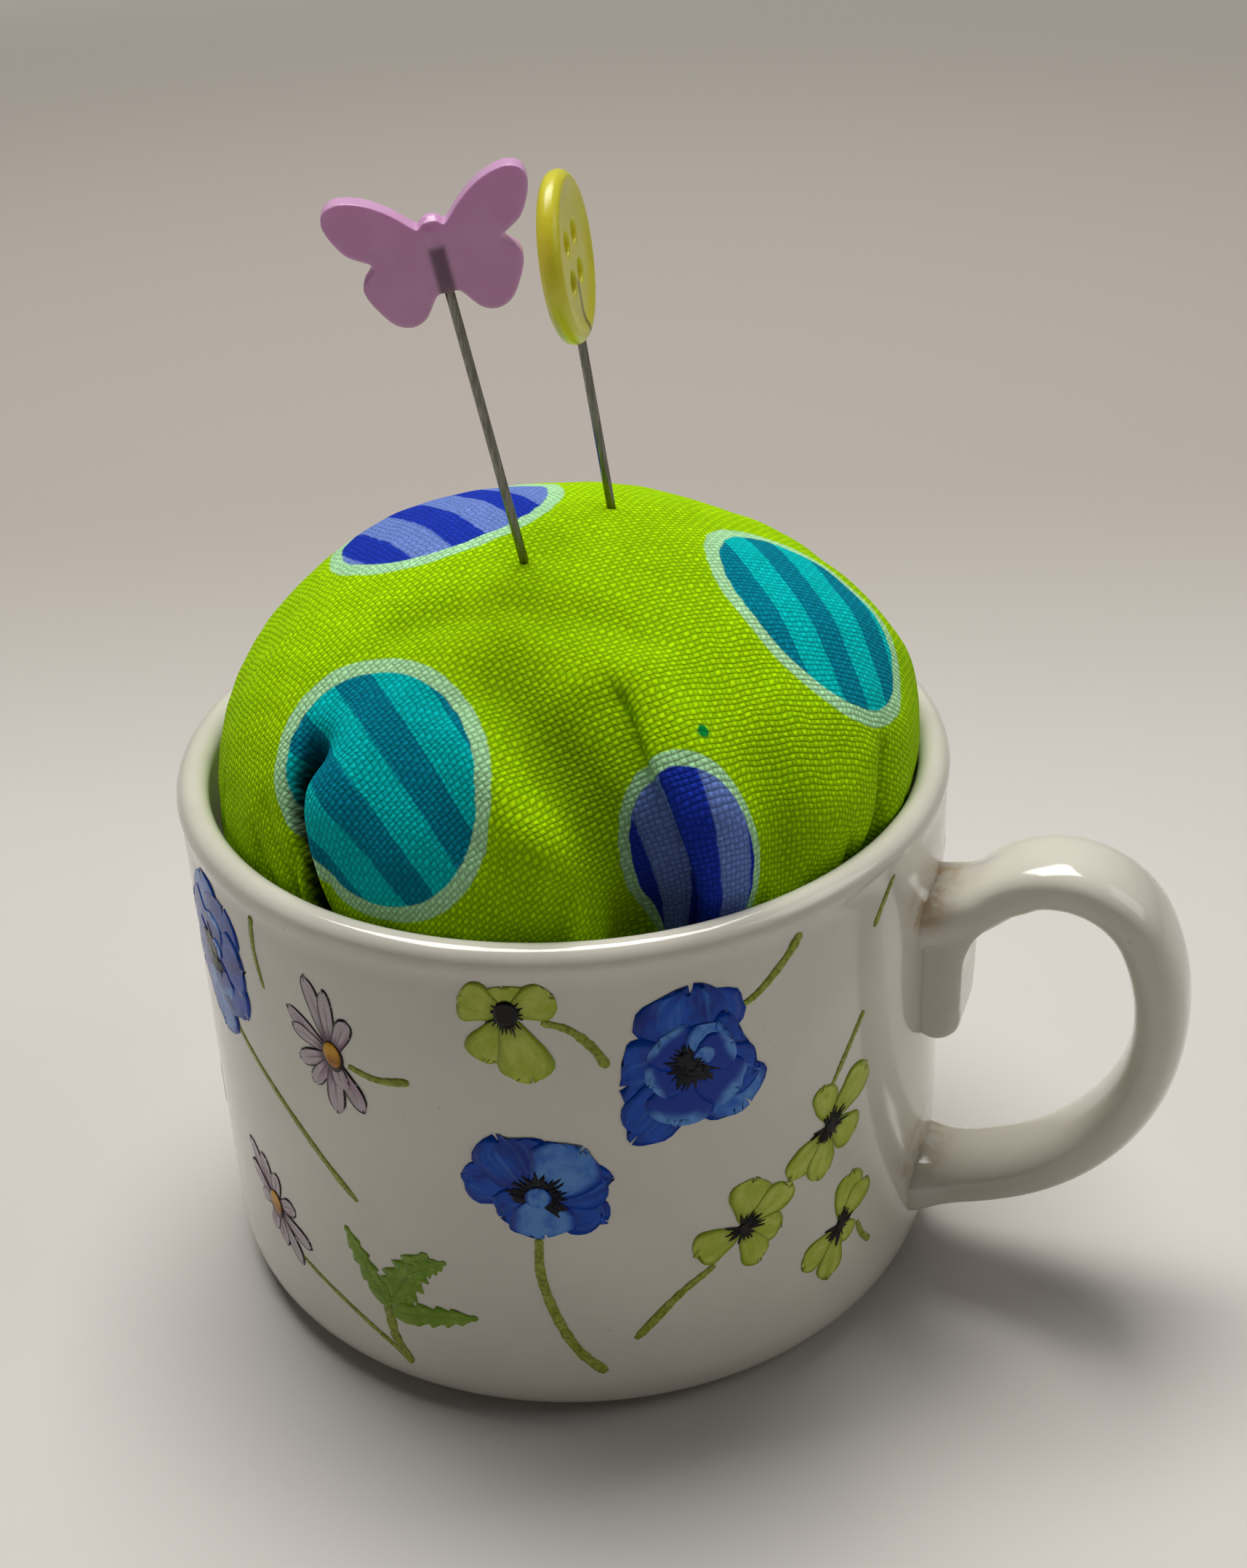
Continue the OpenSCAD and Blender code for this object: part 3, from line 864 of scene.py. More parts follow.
def make_cup():
    profile = cup_profile()
    turns = np.arange(SPINS) / SPINS * TAU
    r, z = profile[:, 0][:, None], profile[:, 1][:, None]
    radius = r + np.where(r > 15, cup_wave(turns[None, :], z), 0)
    radius = np.minimum(radius, LIP_OUT)
    points = np.stack([radius * np.cos(turns), radius * np.sin(turns), z + 0 * turns[None, :]], 2)
    faces = tube_faces(len(profile), SPINS)
    return mesh_piece("china_cup", points.reshape(-1, 3), faces, "cup", "cup_body")


def china_shader():
    s = Shader("glazed_china")
    spot = s.position()
    x, y, z = s.split(spot)
    tone = s.step(s.noise(spot, 0.09, 3), 0.35, 0.65)
    base = s.mix(tone, linear(227, 223, 211), linear(220, 216, 204))
    # the china turns a little greyer low down, in the corner over the foot, and the foot's rim is left bare
    base = s.mix(s.step(z, 4.5, 0.8), base, linear(205, 198, 186))
    bare = s.step(z, 0.5, 0.25)
    base = s.mix(bare, base, linear(214, 203, 184))
    # brown stains where the handle meets the wall
    off_wall = abs(s.math("SQRT", x**2 + y**2) - (WALL_R + 0.3))
    near_wall = s.step(x, 20.0, 24.0) * s.step(abs(y), 8.0, 2.6) * s.step(off_wall, 2.2, 0.1)
    roots = s.math("MAXIMUM", s.step(abs(z - 31.5), 3.0, 0.8), s.step(abs(z - 10.5), 3.4, 1.0))
    blotch = s.step(s.noise(spot, 0.7, 4, 0.6), 0.42, 0.62)
    base = s.mix(near_wall * roots * blotch * 0.62, base, linear(184, 150, 92))
    speck = s.step(s.noise(spot, 1.6, 2), 0.73, 0.76)
    base = s.mix(speck * 0.25, base, linear(170, 160, 145))
    rough = s.noise(spot, 0.35, 3) * 0.08 + 0.1 + bare * 0.5
    s.set(color=base, roughness=rough, coat=0.45, coat_roughness=0.06, ior=1.5, scatter=0.08,
          scatter_radius=(1.0, 0.8, 0.6), scatter_scale=0.0015)
    s.bump(s.noise(spot, 0.16, 2), 0.10, 0.6)
    return s


# ---------------------------------------------------------------- printed transfers

# Kinds of patch, which the print materials read: on flowers, then on the leaf print.
OUTER, INNER, PALE, EYE, POLLEN = range(5)
STEM, LEAF = range(2)
# Petals of each printed flower: direction in degrees, length and width in millimetres, kind.
FLOWER_DESIGNS = {
    "poppy": [(90, 6.1, 8.0, 0), (190, 4.9, 7.2, 0), (5, 4.0, 7.0, 0), (232, 6.9, 4.8, 0), (312, 6.0, 5.6, 2),
              (338, 5.0, 4.4, 0), (255, 5.0, 5.0, 1), (200, 3.3, 3.6, 1), (318, 4.4, 4.2, 1),
              (130, 3.4, 4.0, 1), (60, 3.3, 3.6, 2), (20, 3.0, 3.6, 1)],
    "anemone": [(163, 4.9, 3.6, 0), (215, 3.0, 3.6, 0), (332, 4.6, 3.4, 0), (14, 4.7, 3.6, 0),
                (276, 3.2, 4.6, 2), (116, 5.1, 4.8, 0), (52, 4.7, 5.0, 2)],
    "side_poppy": [(100, 5.6, 5.6, 2), (60, 5.4, 5.0, 0), (150, 4.6, 5.0, 0), (215, 4.8, 4.4, 0),
                   (270, 5.8, 5.2, 2), (320, 5.0, 4.4, 0), (10, 4.6, 4.6, 0), (190, 3.0, 3.4, 1),
                   (80, 3.0, 3.2, 1), (300, 3.2, 3.2, 1)],
    "pansy_a": [(95, 1.9, 3.4, 0), (160, 3.0, 3.0, 0), (25, 3.1, 2.8, 0), (248, 3.9, 3.2, 0),
                (285, 5.1, 3.4, 0)],
    "pansy_b": [(98, 3.5, 2.2, 0), (42, 4.8, 2.6, 0), (325, 3.0, 2.8, 0), (218, 4.2, 2.3, 0),
                (255, 4.0, 2.3, 0)],
    "pansy_c": [(77, 3.8, 3.2, 0), (30, 4.2, 2.4, 0), (338, 3.0, 2.4, 0), (290, 3.4, 2.3, 0),
                (198, 3.6, 2.9, 0)],
    "pansy_d": [(72, 4.1, 2.8, 0), (42, 3.6, 2.2, 0), (208, 3.8, 2.2, 0), (252, 4.1, 2.2, 0),
                (312, 1.8, 1.7, 0)],
    "daisy_a": [(146, 4.3, 1.2, 0), (160, 3.5, 1.2, 0), (107, 5.7, 1.3, 0), (93, 4.9, 1.2, 0),
                (66, 3.4, 1.4, 0), (204, 3.2, 1.4, 0), (236, 3.4, 1.2, 0), (268, 4.5, 1.5, 0),
                (299, 4.2, 1.4, 0), (284, 2.5, 1.4, 0)],
    "daisy_b": [(127, 4.9, 1.2, 0), (110, 3.9, 1.2, 0), (84, 2.8, 1.3, 0), (20, 2.4, 1.5, 0),
                (334, 4.1, 1.2, 0), (303, 4.6, 1.2, 0), (282, 3.3, 1.2, 0), (256, 2.6, 1.1, 0),
                (183, 2.0, 1.1, 0), (147, 3.6, 1.1, 0)],
}
# Printed flowers: angle round the cup, height, design, scale, spin in degrees.
BLUE_FLOWERS = [
    (-132, 30.3, "side_poppy", 1.0, 0), (-75, 20.0, "anemone", 1.0, 0), (-53, 29.2, "poppy", 0.91, 0),
    (24, 31.0, "anemone", 0.95, 150), (78, 28.3, "poppy", 0.9, 25), (112, 14, "anemone", 1.0, 75),
    (168, 28.5, "side_poppy", 0.95, 30), (-160, 14, "anemone", 1.0, 200),
]
OLIVE_FLOWERS = [
    (-77.5, 34.2, "pansy_a", 1.0, 0), (-31, 20, "pansy_b", 1.0, 0), (-46, 14.8, "pansy_c", 1.0, 0),
    (-28.5, 10.8, "pansy_d", 1.0, 0), (28, 18.5, "pansy_c", 1.0, 80), (52, 31, "pansy_b", 0.95, 200),
    (54, 11, "pansy_a", 1.0, 30), (97, 22, "pansy_d", 0.9, 140), (136, 25, "pansy_b", 1.0, 60),
    (141, 10, "pansy_c", 0.95, 250), (-162, 25.5, "pansy_a", 0.9, 190),
]
WHITE_FLOWERS = [
    (-104, 28.4, "daisy_a", 1.0, 0), (-122.5, 11.5, "daisy_b", 1.0, 0), (80, 11, "daisy_a", 1.0, 60),
    (110, 31, "daisy_b", 0.95, 120), (172, 11.5, "daisy_a", 1.0, 200),
]
# Radius of the plain patch under a blue flower.
UNDERPRINT_R = 2.9
# Leaf sprigs: angle round the cup, height and spin.
LEAF_SPRIGS = [(-99.5, 7.6, 0), (42, 17.5, -20), (129, 30, 15), (-172, 8, -10)]
# Leaflets of a sprig: base across and up, direction, length, width.
LEAFLETS = [((0.0, 0.5), 119, 6.6, 1.9), ((0.1, 1.0), 62, 6.3, 3.3), ((1.7, 4.0), 36, 3.6, 1.7),
            ((0.2, 0.1), 14, 6.6, 2.1)]
# Stems: angles round the cup and heights along the stem, then its width.
PRINTED_STEMS = [
    ([(-128, 26), (-115, 21.6), (-103, 16.6)], 0.5), ([(-101.5, 28.0), (-97, 27.6), (-92, 28.0)], 0.55),
    ([(-117, 8.4), (-107.5, 6.6), (-99.5, 4.6), (-96.6, 3.4)], 0.42),
    ([(-96.5, 3.6), (-99, 5.6), (-99.6, 8.2)], 0.8),
    ([(-73, 33.6), (-69.5, 33.0), (-66.5, 31.6), (-64.6, 30.0)], 0.62),
    ([(-75.3, 16.6), (-75.4, 13.4), (-73.6, 9.8), (-70.8, 6.8), (-67.0, 4.7)], 0.72),
    ([(-46.8, 32.4), (-43.2, 33.2), (-39.0, 34.9), (-36.4, 36.3)], 0.6),
    ([(-30.5, 23.2), (-27.6, 25.2), (-24.0, 27.6)], 0.42), ([(-50.5, 12.4), (-56, 10.6), (-62.5, 7.4)], 0.6),
    ([(-24.5, 10.0), (-23.4, 8.6), (-21.4, 7.4)], 0.5), ([(-117, 31), (-118.2, 33.6), (-118, 36.3)], 0.42),
    ([(-17, 36.3), (-19.5, 35.2), (-22, 33.6)], 0.42), ([(30, 15), (33, 10), (38, 6)], 0.6),
    ([(72, 24), (66, 19), (62, 14)], 0.6), ([(57, 28), (62, 24.5), (66, 20)], 0.55),
    ([(92, 19), (92, 13), (95, 7)], 0.6), ([(112, 10), (115, 7.5), (122, 5.8)], 0.65),
    ([(131, 22), (125, 18), (122, 12)], 0.6), ([(163, 24), (157, 20), (150, 15)], 0.6),
    ([(-160, 10), (-156, 7.4), (-151, 5.4)], 0.65),
]
# Height of a transfer over the glaze, the step for each layer on it, and its depth under the glaze.
PRINT_LIFT = 0.045
PRINT_STEP = 0.008
PRINT_ROOT = 0.06
OUTER_WALL = np.array([p for p in cup_profile() if p[0] > FOOT_R + 0.9])
OUTER_WALL = OUTER_WALL[:1 + int(np.argmax(OUTER_WALL[:, 1]))]


def wall_radius(angle, height):
    """Radius of the cup's outside at an angle in radians and a height in millimetres."""
    return np.interp(height, OUTER_WALL[:, 1], OUTER_WALL[:, 0]) + cup_wave(angle, height)


def on_wall(centre, across_up, lift):
    """Wraps flat points, across and up from a centre (degrees, height), onto the wall."""
    angle = math.radians(centre[0]) + across_up[..., 0] / WALL_R
    height = np.minimum(centre[1] + across_up[..., 1], LIP_Z - 0.9)
    radius = wall_radius(angle, height) + lift
    return np.stack([radius * np.cos(angle), radius * np.sin(angle), height], -1)


class Print:
    """Collects the thin raised patches of one kind of transfer."""

    def __init__(self, seed):
        self.points, self.faces, self.petal, self.part = [], [], [], []
        self.count = 0
        self.draw = random.Random(seed)

    def patch(self, centre, grid, kind, turn=0.0, layer=0):
        """Adds a patch from a grid (rows, columns, 2) of flat points round a centre on the wall."""
        rows, columns = grid.shape[:2]
        flat = turned(grid[..., 0], grid[..., 1], turn)
        top = on_wall(centre, flat, PRINT_LIFT + PRINT_STEP * layer).reshape(-1, 3)
        index = np.arange(rows * columns).reshape(rows, columns)
        rim = np.concatenate([index[0], index[1:, -1], index[-1, -2::-1], index[-2:0:-1, 0]]).tolist()
        low = on_wall(centre, flat.reshape(-1, 2)[rim], -PRINT_ROOT)
        start, size, n = self.count, rows * columns, len(rim)
        self.faces += [tuple(i + start for i in f) for f in grid_faces(rows, columns, False)]
        for i in range(n):
            k = (i + 1) % n
            self.faces.append((start + rim[k], start + rim[i], start + size + i, start + size + k))
        self.faces.append(tuple(start + size + i for i in range(n)))
        u, v = np.meshgrid(np.linspace(-1, 1, columns), np.linspace(0, 1, rows))
        ident = 7.3 * (len(self.points) + 1)
        petal = np.stack([u, v, 0 * u + ident], -1).reshape(-1, 3)
        self.petal.append(np.concatenate([petal, petal[rim]]))
        self.part.append(np.tile([float(kind), ident, 0.0], (size + n, 1)))
        self.points.append(np.concatenate([top, low]))
        self.count += size + n

    def petals(self, flower, base_power, ruffle, lift=0.0, rows=11):
        """Adds the petals of one flower, each over the last."""
        angle, height, design, scale, spin = flower
        for k, (direction, length, width, kind) in enumerate(FLOWER_DESIGNS[design]):
            grid = petal_grid(direction, length * scale, width * scale, self.draw, base_power, ruffle, rows)
            self.patch((angle, height), grid, kind, spin, lift + k * 0.6)

    def whiskers(self, flower, count, low, high, width, arc_from=0, arc_to=360, layer=9):
        """Adds dark tapered strokes out of a flower's eye."""
        draw = self.draw
        for k in range(count):
            a = math.radians(arc_from + (arc_to - arc_from) * (k + draw.uniform(-0.4, 0.4)) / count)
            start, reach = low * draw.uniform(0.7, 1.2), high * draw.uniform(0.65, 1.1)
            w = width * draw.uniform(0.7, 1.2)
            v = np.linspace(0, 1, 5)
            half = w / 2 * np.array([0.5, 1.0, 0.85, 0.6, 0.18])
            along = start + (reach - start) * v
            bend = draw.uniform(-0.12, 0.12) * v**2
            x = along * np.cos(a + bend)
            y = along * np.sin(a + bend)
            nx, ny = -math.sin(a), math.cos(a)
            grid = np.stack([np.stack([x + half * nx * s, y + half * ny * s], -1) for s in (-1, 1)], 1)
            self.patch(flower[:2], grid, EYE, flower[4], layer)

    def spot(self, flower, across, up, radius_x, radius_y, turn=0.0, kind=EYE, layer=9):
        """Adds a small oval spot at a flower's eye."""
        side = np.linspace(-1, 1, 7)
        u, v = np.meshgrid(side, side)
        x = radius_x * u * np.sqrt(1 - v * v / 2)
        y = radius_y * v * np.sqrt(1 - u * u / 2)
        self.patch(flower[:2], turned(x, y, turn) + (across, up), kind, flower[4], layer)

    def piece(self, name, slot, node, shader):
        points = np.concatenate(self.points)
        made = mesh_piece(name, points, self.faces, "cup", node)
        fix_outward(made)
        add_vectors(made.data, "petal", np.concatenate(self.petal))
        add_vectors(made.data, "part", np.concatenate(self.part))
        add_vectors(made.data, "place", points)
        return paint(made, shader)


def petal_grid(direction, length, width, draw, base_power, ruffle, rows, columns=9):
    """Flat grid of one petal from its base out along a direction, with a ruffled edge."""
    v = np.sin(np.linspace(0.0, 0.975, rows) * math.pi / 2)
    u = np.linspace(-1, 1, columns)
    shape = v**base_power * np.sqrt(1 - v**5)
    shape = shape / shape.max()
    phase = [draw.uniform(0, TAU) for _ in range(4)]
    left = 1 + ruffle * np.sin(9 * v + phase[0]) + 0.6 * ruffle * np.sin(17 * v + phase[1])
    right = 1 + ruffle * np.sin(8 * v + phase[2]) + 0.6 * ruffle * np.sin(15 * v + phase[3])
    side = np.where(u[None, :] < 0, left[:, None], right[:, None])
    x = u[None, :] * shape[:, None] * side * width / 2
    crown = 1 + ruffle * np.sin(5 * u + phase[1]) + 0.5 * ruffle * np.sin(11 * u + phase[0])
    y = length * v[:, None] * (1 - (1 - crown[None, :]) * v[:, None] ** 3)
    return turned(x, y, direction - 90)


def blue_prints():
    out = Print(11)
    for flower in BLUE_FLOWERS:
        scale = flower[3]
        out.spot(flower, 0, 0, UNDERPRINT_R * scale, UNDERPRINT_R * scale, kind=OUTER, layer=0)
        out.petals(flower, 0.5, 0.06, lift=0.6)
        if flower[2] == "anemone":
            out.whiskers(flower, 44, 0.75, 2.0, 0.3, -60, 195)
            out.spot(flower, -1.15, -0.1, 0.5, 0.42, layer=8)
            out.spot(flower, 0, 0, 0.85, 0.8, kind=PALE, layer=11)
        else:
            out.whiskers(flower, 46, 0.4, 1.85, 0.32, 95, 340)
            out.spot(flower, -0.25, 0.1, 0.62, 1.15, 25)
            out.spot(flower, 0.75, 0.55, 0.78, 0.6, -30, kind=PALE, layer=11)
            out.whiskers(flower, 8, 0.2, 0.9, 0.16, -60, 80, 12)
    return out


def olive_prints():
    out = Print(12)
    for flower in OLIVE_FLOWERS:
        out.petals(flower, 0.75, 0.05)
        for direction, length, _, _ in FLOWER_DESIGNS[flower[2]]:
            out.whiskers(flower, 7, 0.1, 0.36 * length * flower[3], 0.2, direction - 38, direction + 38, 7)
        size = 0.75 if flower[2] == "pansy_a" else 0.35
        out.spot(flower, 0, 0, size, size * 1.3)
    return out


def white_prints():
    out = Print(13)
    for flower in WHITE_FLOWERS:
        out.petals(flower, 0.55, 0.03, rows=13)
        out.spot(flower, 0, -0.05, 0.78, 1.15, 10, layer=8)
        out.spot(flower, -0.02, 0.1, 0.66, 0.95, 10, kind=POLLEN)
    return out


def stem_grid(path, width, draw):
    """Flat grid of a stem through points given as angles and heights, from the first point."""
    flat = np.array([(math.radians(a - path[0][0]) * WALL_R, z - path[0][1]) for a, z in path])
    ends = np.concatenate([[2 * flat[0] - flat[1]], flat, [2 * flat[-1] - flat[-2]]])
    line = np.array(curve_through(ends, 8) + [flat[-1]])
    way = np.gradient(line, axis=0)
    way /= np.linalg.norm(way, axis=1)[:, None]
    normal = np.stack([-way[:, 1], way[:, 0]], 1)
    share = np.linspace(0, 1, len(line))
    half = width / 2 * (0.75 + 0.35 * share) * (1 + 0.16 * np.array([draw.uniform(-1, 1) for _ in line]))
    half[0] *= 0.6
    half[-1] *= 0.5
    return np.stack([line + normal * (half * s)[:, None] for s in (-1, -0.33, 0.33, 1)], 1)


def leaflet_grid(base, direction, length, width, rows=30):
    """Flat grid of a leaflet with a saw-toothed edge."""
    v = np.linspace(0, 1, rows)
    u = np.linspace(-1, 1, 5)
    shape = np.maximum(v, 0.02) ** 0.55 * (1 - v) ** 0.75
    shape = shape / shape.max()
    left = 1 - 0.42 * np.mod(v * 5.2 + 0.1, 1) * smooth(0.15, 0.4, v)
    right = 1 - 0.42 * np.mod(v * 5.9 + 0.5, 1) * smooth(0.15, 0.4, v)
    side = np.where(u[None, :] < 0, left[:, None], right[:, None])
    bend = 0.35 * width * (v[:, None] ** 2) * 0.3
    x = u[None, :] * side * (shape[:, None] * width / 2 + 0.06) + bend
    y = v[:, None] * length - 0.35 * np.abs(u[None, :]) * np.mod(v * 5.2, 1)[:, None] * 0.5
    return turned(x, y, direction - 90) + base


def green_prints():
    out = Print(14)
    for path, width in PRINTED_STEMS:
        out.patch(path[0], stem_grid(path, width, out.draw), STEM)
    stalk = np.array([[(-0.35, 0.8), (0.35, 0.8)], [(-0.25, -1.0), (0.3, -1.0)], [(0.3, -3.0), (0.75, -2.9)]])
    for k, (angle, height, spin) in enumerate(LEAF_SPRIGS):
        for leaflet in LEAFLETS:
            out.patch((angle, height), leaflet_grid(*leaflet), LEAF, spin, 1)
        # the first sprig grows from a printed stem, the others have a stalk of their own
        if k > 0:
            out.patch((angle, height), stalk, STEM, spin)
    return out


class PrintShader(Shader):
    """A transfer's material: its patch coordinates, grain, and the gloss of the glaze."""

    def __init__(self, name):
        super().__init__(name)
        self.u, self.v, self.ident = self.split(self.vector("petal"))
        self.kind, _, _ = self.split(self.vector("part"))
        self.place = self.vector("place")
        self.edge = abs(self.u)

    def is_kind(self, number):
        return self.step(abs(self.kind - float(number)), 0.5, 0.4)

    def wash(self, across, along, scale, detail, roughness=0.5):
        """Uneven paint, different on each patch, drawn out across or along it."""
        return self.noise(self.join(self.u * across, self.v * along, self.ident), scale, detail, roughness)

    def glaze(self, color):
        grain = self.noise(self.place, 5.0, 3)
        self.set(color=self.toned(color, grain * 0.35 + 0.82), roughness=0.22, coat=0.1, coat_roughness=0.08,
                 specular=0.15)
        self.bump(self.noise(self.place, 0.9, 2), 0.03, 0.5)
        return self


def blue_shader():
    s = PrintShader("blue_print")
    wash = s.wash(0.9, 1.3, 1.6, 4, 0.6)
    streak = s.wash(5.0, 0.8, 1.5, 3)
    deep, mid, pale = linear(0, 46, 148), linear(2, 80, 196), linear(78, 146, 226)
    base = s.mix(s.step(wash, 0.32, 0.62), deep, mid)
    base = s.mix(s.step(streak, 0.5, 0.75) * 0.35, base, pale)
    rim = s.math("MAXIMUM", s.step(s.edge, 0.7, 1.0), s.step(s.v, 0.82, 1.0))
    base = s.mix(rim * 0.55, base, deep)
    inner = s.mix(s.step(s.v, 0.55, 0.8), linear(2, 56, 168), linear(96, 154, 230))
    base = s.mix(s.is_kind(INNER), base, inner)
    light = s.mix(s.step(wash, 0.3, 0.6), linear(30, 100, 208), linear(96, 152, 226))
    base = s.mix(s.is_kind(PALE) * s.step(s.edge, 0.95, 0.6), base, light)
    return s.glaze(s.mix(s.is_kind(EYE), base, linear(10, 12, 26)))


def olive_shader():
    s = PrintShader("olive_print")
    base = s.mix(s.step(s.wash(1.1, 1.4, 1.5, 3), 0.35, 0.65), linear(176, 194, 58), linear(200, 212, 92))
    rim = s.math("MAXIMUM", s.step(s.edge, 0.62, 1.0), s.step(s.v, 0.86, 1.0))
    base = s.mix(rim * 0.75, base, linear(134, 158, 20))
    base = s.mix(s.step(s.v, 0.35, 0.1) * 0.6, base, linear(116, 136, 20))
    return s.glaze(s.mix(s.is_kind(EYE), base, linear(14, 14, 12)))


def white_shader():
    s = PrintShader("white_print")
    flush = s.step(s.wash(1.0, 1.0, 1.1, 2), 0.42, 0.66)
    base = s.mix(flush * s.step(s.v, 0.95, 0.2), linear(204, 190, 200), linear(166, 130, 152))
    base = s.mix(s.step(s.v, 0.35, 0.12), base, linear(96, 62, 84))
    broken = s.step(s.wash(1.0, 4.0, 2.2, 2), 0.28, 0.4)
    line = s.math("MAXIMUM", s.step(s.edge, 0.76, 0.84), s.step(s.v, 0.93, 0.96))
    vein = s.step(s.edge, 0.12, 0.05) * s.step(s.v, 0.7, 0.4)
    line = s.math("MAXIMUM", line * broken, vein * 0.5)
    base = s.mix(line, base, linear(44, 28, 40))
    base = s.mix(s.is_kind(EYE), base, linear(48, 30, 26))
    gold = s.mix(s.step(s.v, 0.2, 0.7), linear(176, 112, 14), linear(224, 166, 30))
    return s.glaze(s.mix(s.is_kind(POLLEN), base, gold))


def green_shader():
    s = PrintShader("green_print")
    wash = s.noise(s.place, 0.8, 3)
    fleck = s.step(s.noise(s.place, 4.2, 3, 0.65), 0.44, 0.6)
    stem_tone = s.mix(s.step(wash, 0.35, 0.65), linear(150, 166, 46), linear(170, 182, 78))
    stem_tone = s.mix(fleck * 0.6, stem_tone, linear(88, 110, 20))
    leaf_tone = s.mix(s.step(wash, 0.3, 0.7), linear(122, 160, 34), linear(146, 176, 60))
    leaf_tone = s.mix(fleck * 0.5, leaf_tone, linear(84, 128, 14))
    vein = s.step(s.edge, 0.14, 0.04) * s.step(s.v, 0.95, 0.6)
    leaf_tone = s.mix(vein * 0.4, leaf_tone, linear(88, 112, 24))
    return s.glaze(s.mix(s.is_kind(LEAF), stem_tone, leaf_tone))


# ---------------------------------------------------------------- the handle

# The strap follows arcs in the XZ plane, from its root over the crown and bow to its heel.
STRAP_W = 6.6
STRAP_T = 3.6
CROWN = (34.9, 27.2)
CROWN_R = 6.1
BOW_R = 15.9
HEEL_R = 25.0
ROOT_R = 5.5
CROWN_START = 136.0
CROWN_END = 25.0
BOW_END = -66.0
HEEL_END = -86.0
ROOT_SWEEP = 26.0
SPUR_T = 2.5
SPUR_Z = 19.9
SPUR_ARC_Z = 25.75
SPUR_W = 5.6
SPUR_EDGE = 0.35
HANDLE_VOXEL = 0.22


def toward(centre, distance, degrees):
    a = math.radians(degrees)
    return (centre[0] + distance * math.cos(a), centre[1] + distance * math.sin(a))


def arc_stations(centre, radius, start, end, steps):
    """Place and heading, in degrees, at steps along an arc in the XZ plane."""
    heading = -90 if end < start else 90
    turns = [start + (end - start) * i / steps for i in range(steps + 1)]
    return [(*toward(centre, radius, a), a + heading) for a in turns]


def strap_stations():
    root_c = toward(CROWN, CROWN_R + ROOT_R, CROWN_START)
    bow_c = toward(CROWN, -(BOW_R - CROWN_R), CROWN_END)
    heel_c = toward(bow_c, -(HEEL_R - BOW_R), BOW_END)
    root = arc_stations(root_c, ROOT_R, CROWN_START + 180 - ROOT_SWEEP, CROWN_START + 180, 10)
    x, z, heading = root[0]
    start = (x - 3.5, z - 3.5 * math.tan(math.radians(heading)), heading)
    return ([start] + root + arc_stations(CROWN, CROWN_R, CROWN_START - 3, CROWN_END, 28)
            + arc_stations(bow_c, BOW_R, CROWN_END - 2, BOW_END, 44)
            + arc_stations(heel_c, HEEL_R, BOW_END - 2, HEEL_END, 10))


def rounded(values):
    """Sines or cosines made squarer, so that a ring of them is a soft-cornered oval."""
    return np.sign(values) * np.abs(values) ** 0.75


def strap_mesh():
    sides = 40
    a = np.arange(sides) / sides * TAU
    points = []
    stations = strap_stations()
    for x, z, heading in stations:
        size = 1 + 0.25 * np.clip(1 - (x - WALL_R) / 3.0, 0, 1) ** 2
        across = size * STRAP_T / 2 * rounded(np.cos(a))
        side = size * STRAP_W / 2 * rounded(np.sin(a))
        # the outside of the strap is crowned, its inside is flatter
        across = np.where(across < 0, across * 0.97, across)
        h = math.radians(heading)
        points.append(np.stack([x - across * math.sin(h), side, z + across * math.cos(h)], 1))
    return np.concatenate(points), tube_faces(len(stations), sides)


def spur_mesh():
    """Lug that hangs from the upper arm against the wall, with a rounded lower end."""
    end_r = (SPUR_T + 1) / 2
    x0 = WALL_R - 1
    top = CROWN[1] + 2
    outline = [(x0 + 2 * end_r, top), (x0, top), (x0, SPUR_Z + end_r)]
    outline += arc(x0 + end_r, SPUR_Z + end_r, end_r, 180, 360, 14)
    middle = (x0 + end_r, (top + SPUR_Z) / 2)
    half = SPUR_W / 2
    points = []
    flat_half = half - SPUR_EDGE
    for y, inset in ((-half, SPUR_EDGE), (-flat_half, 0.0), (flat_half, 0.0), (half, SPUR_EDGE)):
        for x, z in outline:
            inset_x = math.copysign(inset, x - middle[0])
            inset_z = math.copysign(inset, z - middle[1])
            points.append((x - inset_x, y, z - inset_z))
    return np.array(points), tube_faces(4, len(outline))


def gusset_mesh():
    """Rounded corner between the upper arm and the spur, hollowed by an arc that runs on into the crown."""
    centre = (CROWN[0], SPUR_ARC_Z)
    foot = centre[1] - 3
    radius = centre[0] - (WALL_R + SPUR_T)
    outline = [(WALL_R + 1.2, foot), (WALL_R + 1.2, 29.0), (28.4, 30.1), (30.5, 31.4), (32.6, 32.8)]
    outline += arc(centre[0], centre[1], radius, 106, 180, 12)
    outline.append((WALL_R + SPUR_T, foot))
    half = SPUR_W / 2 + 0.1
    points = [(x, y, z) for y in (-half, half) for x, z in outline]
    return np.array(points), tube_faces(2, len(outline))


def joined(parts):
    """Points and faces of several closed shapes as one list."""
    points, faces, start = [], [], 0
    for part_points, part_faces in parts:
        points.append(part_points)
        faces += [tuple(i + start for i in f) for f in part_faces]
        start += len(part_points)
    return np.concatenate(points), faces


def soften(piece, voxel_mm, rounds):
    """Melts a piece's parts into one skin and rounds its edges."""
    m = piece.modifiers.new("Melt", "REMESH")
    m.mode = "VOXEL"
    m.voxel_size = voxel_mm * MM
    m.use_smooth_shade = True
    m = piece.modifiers.new("Round", "SMOOTH")
    m.factor = 0.5
    m.iterations = rounds
    return bake_modifiers(piece)


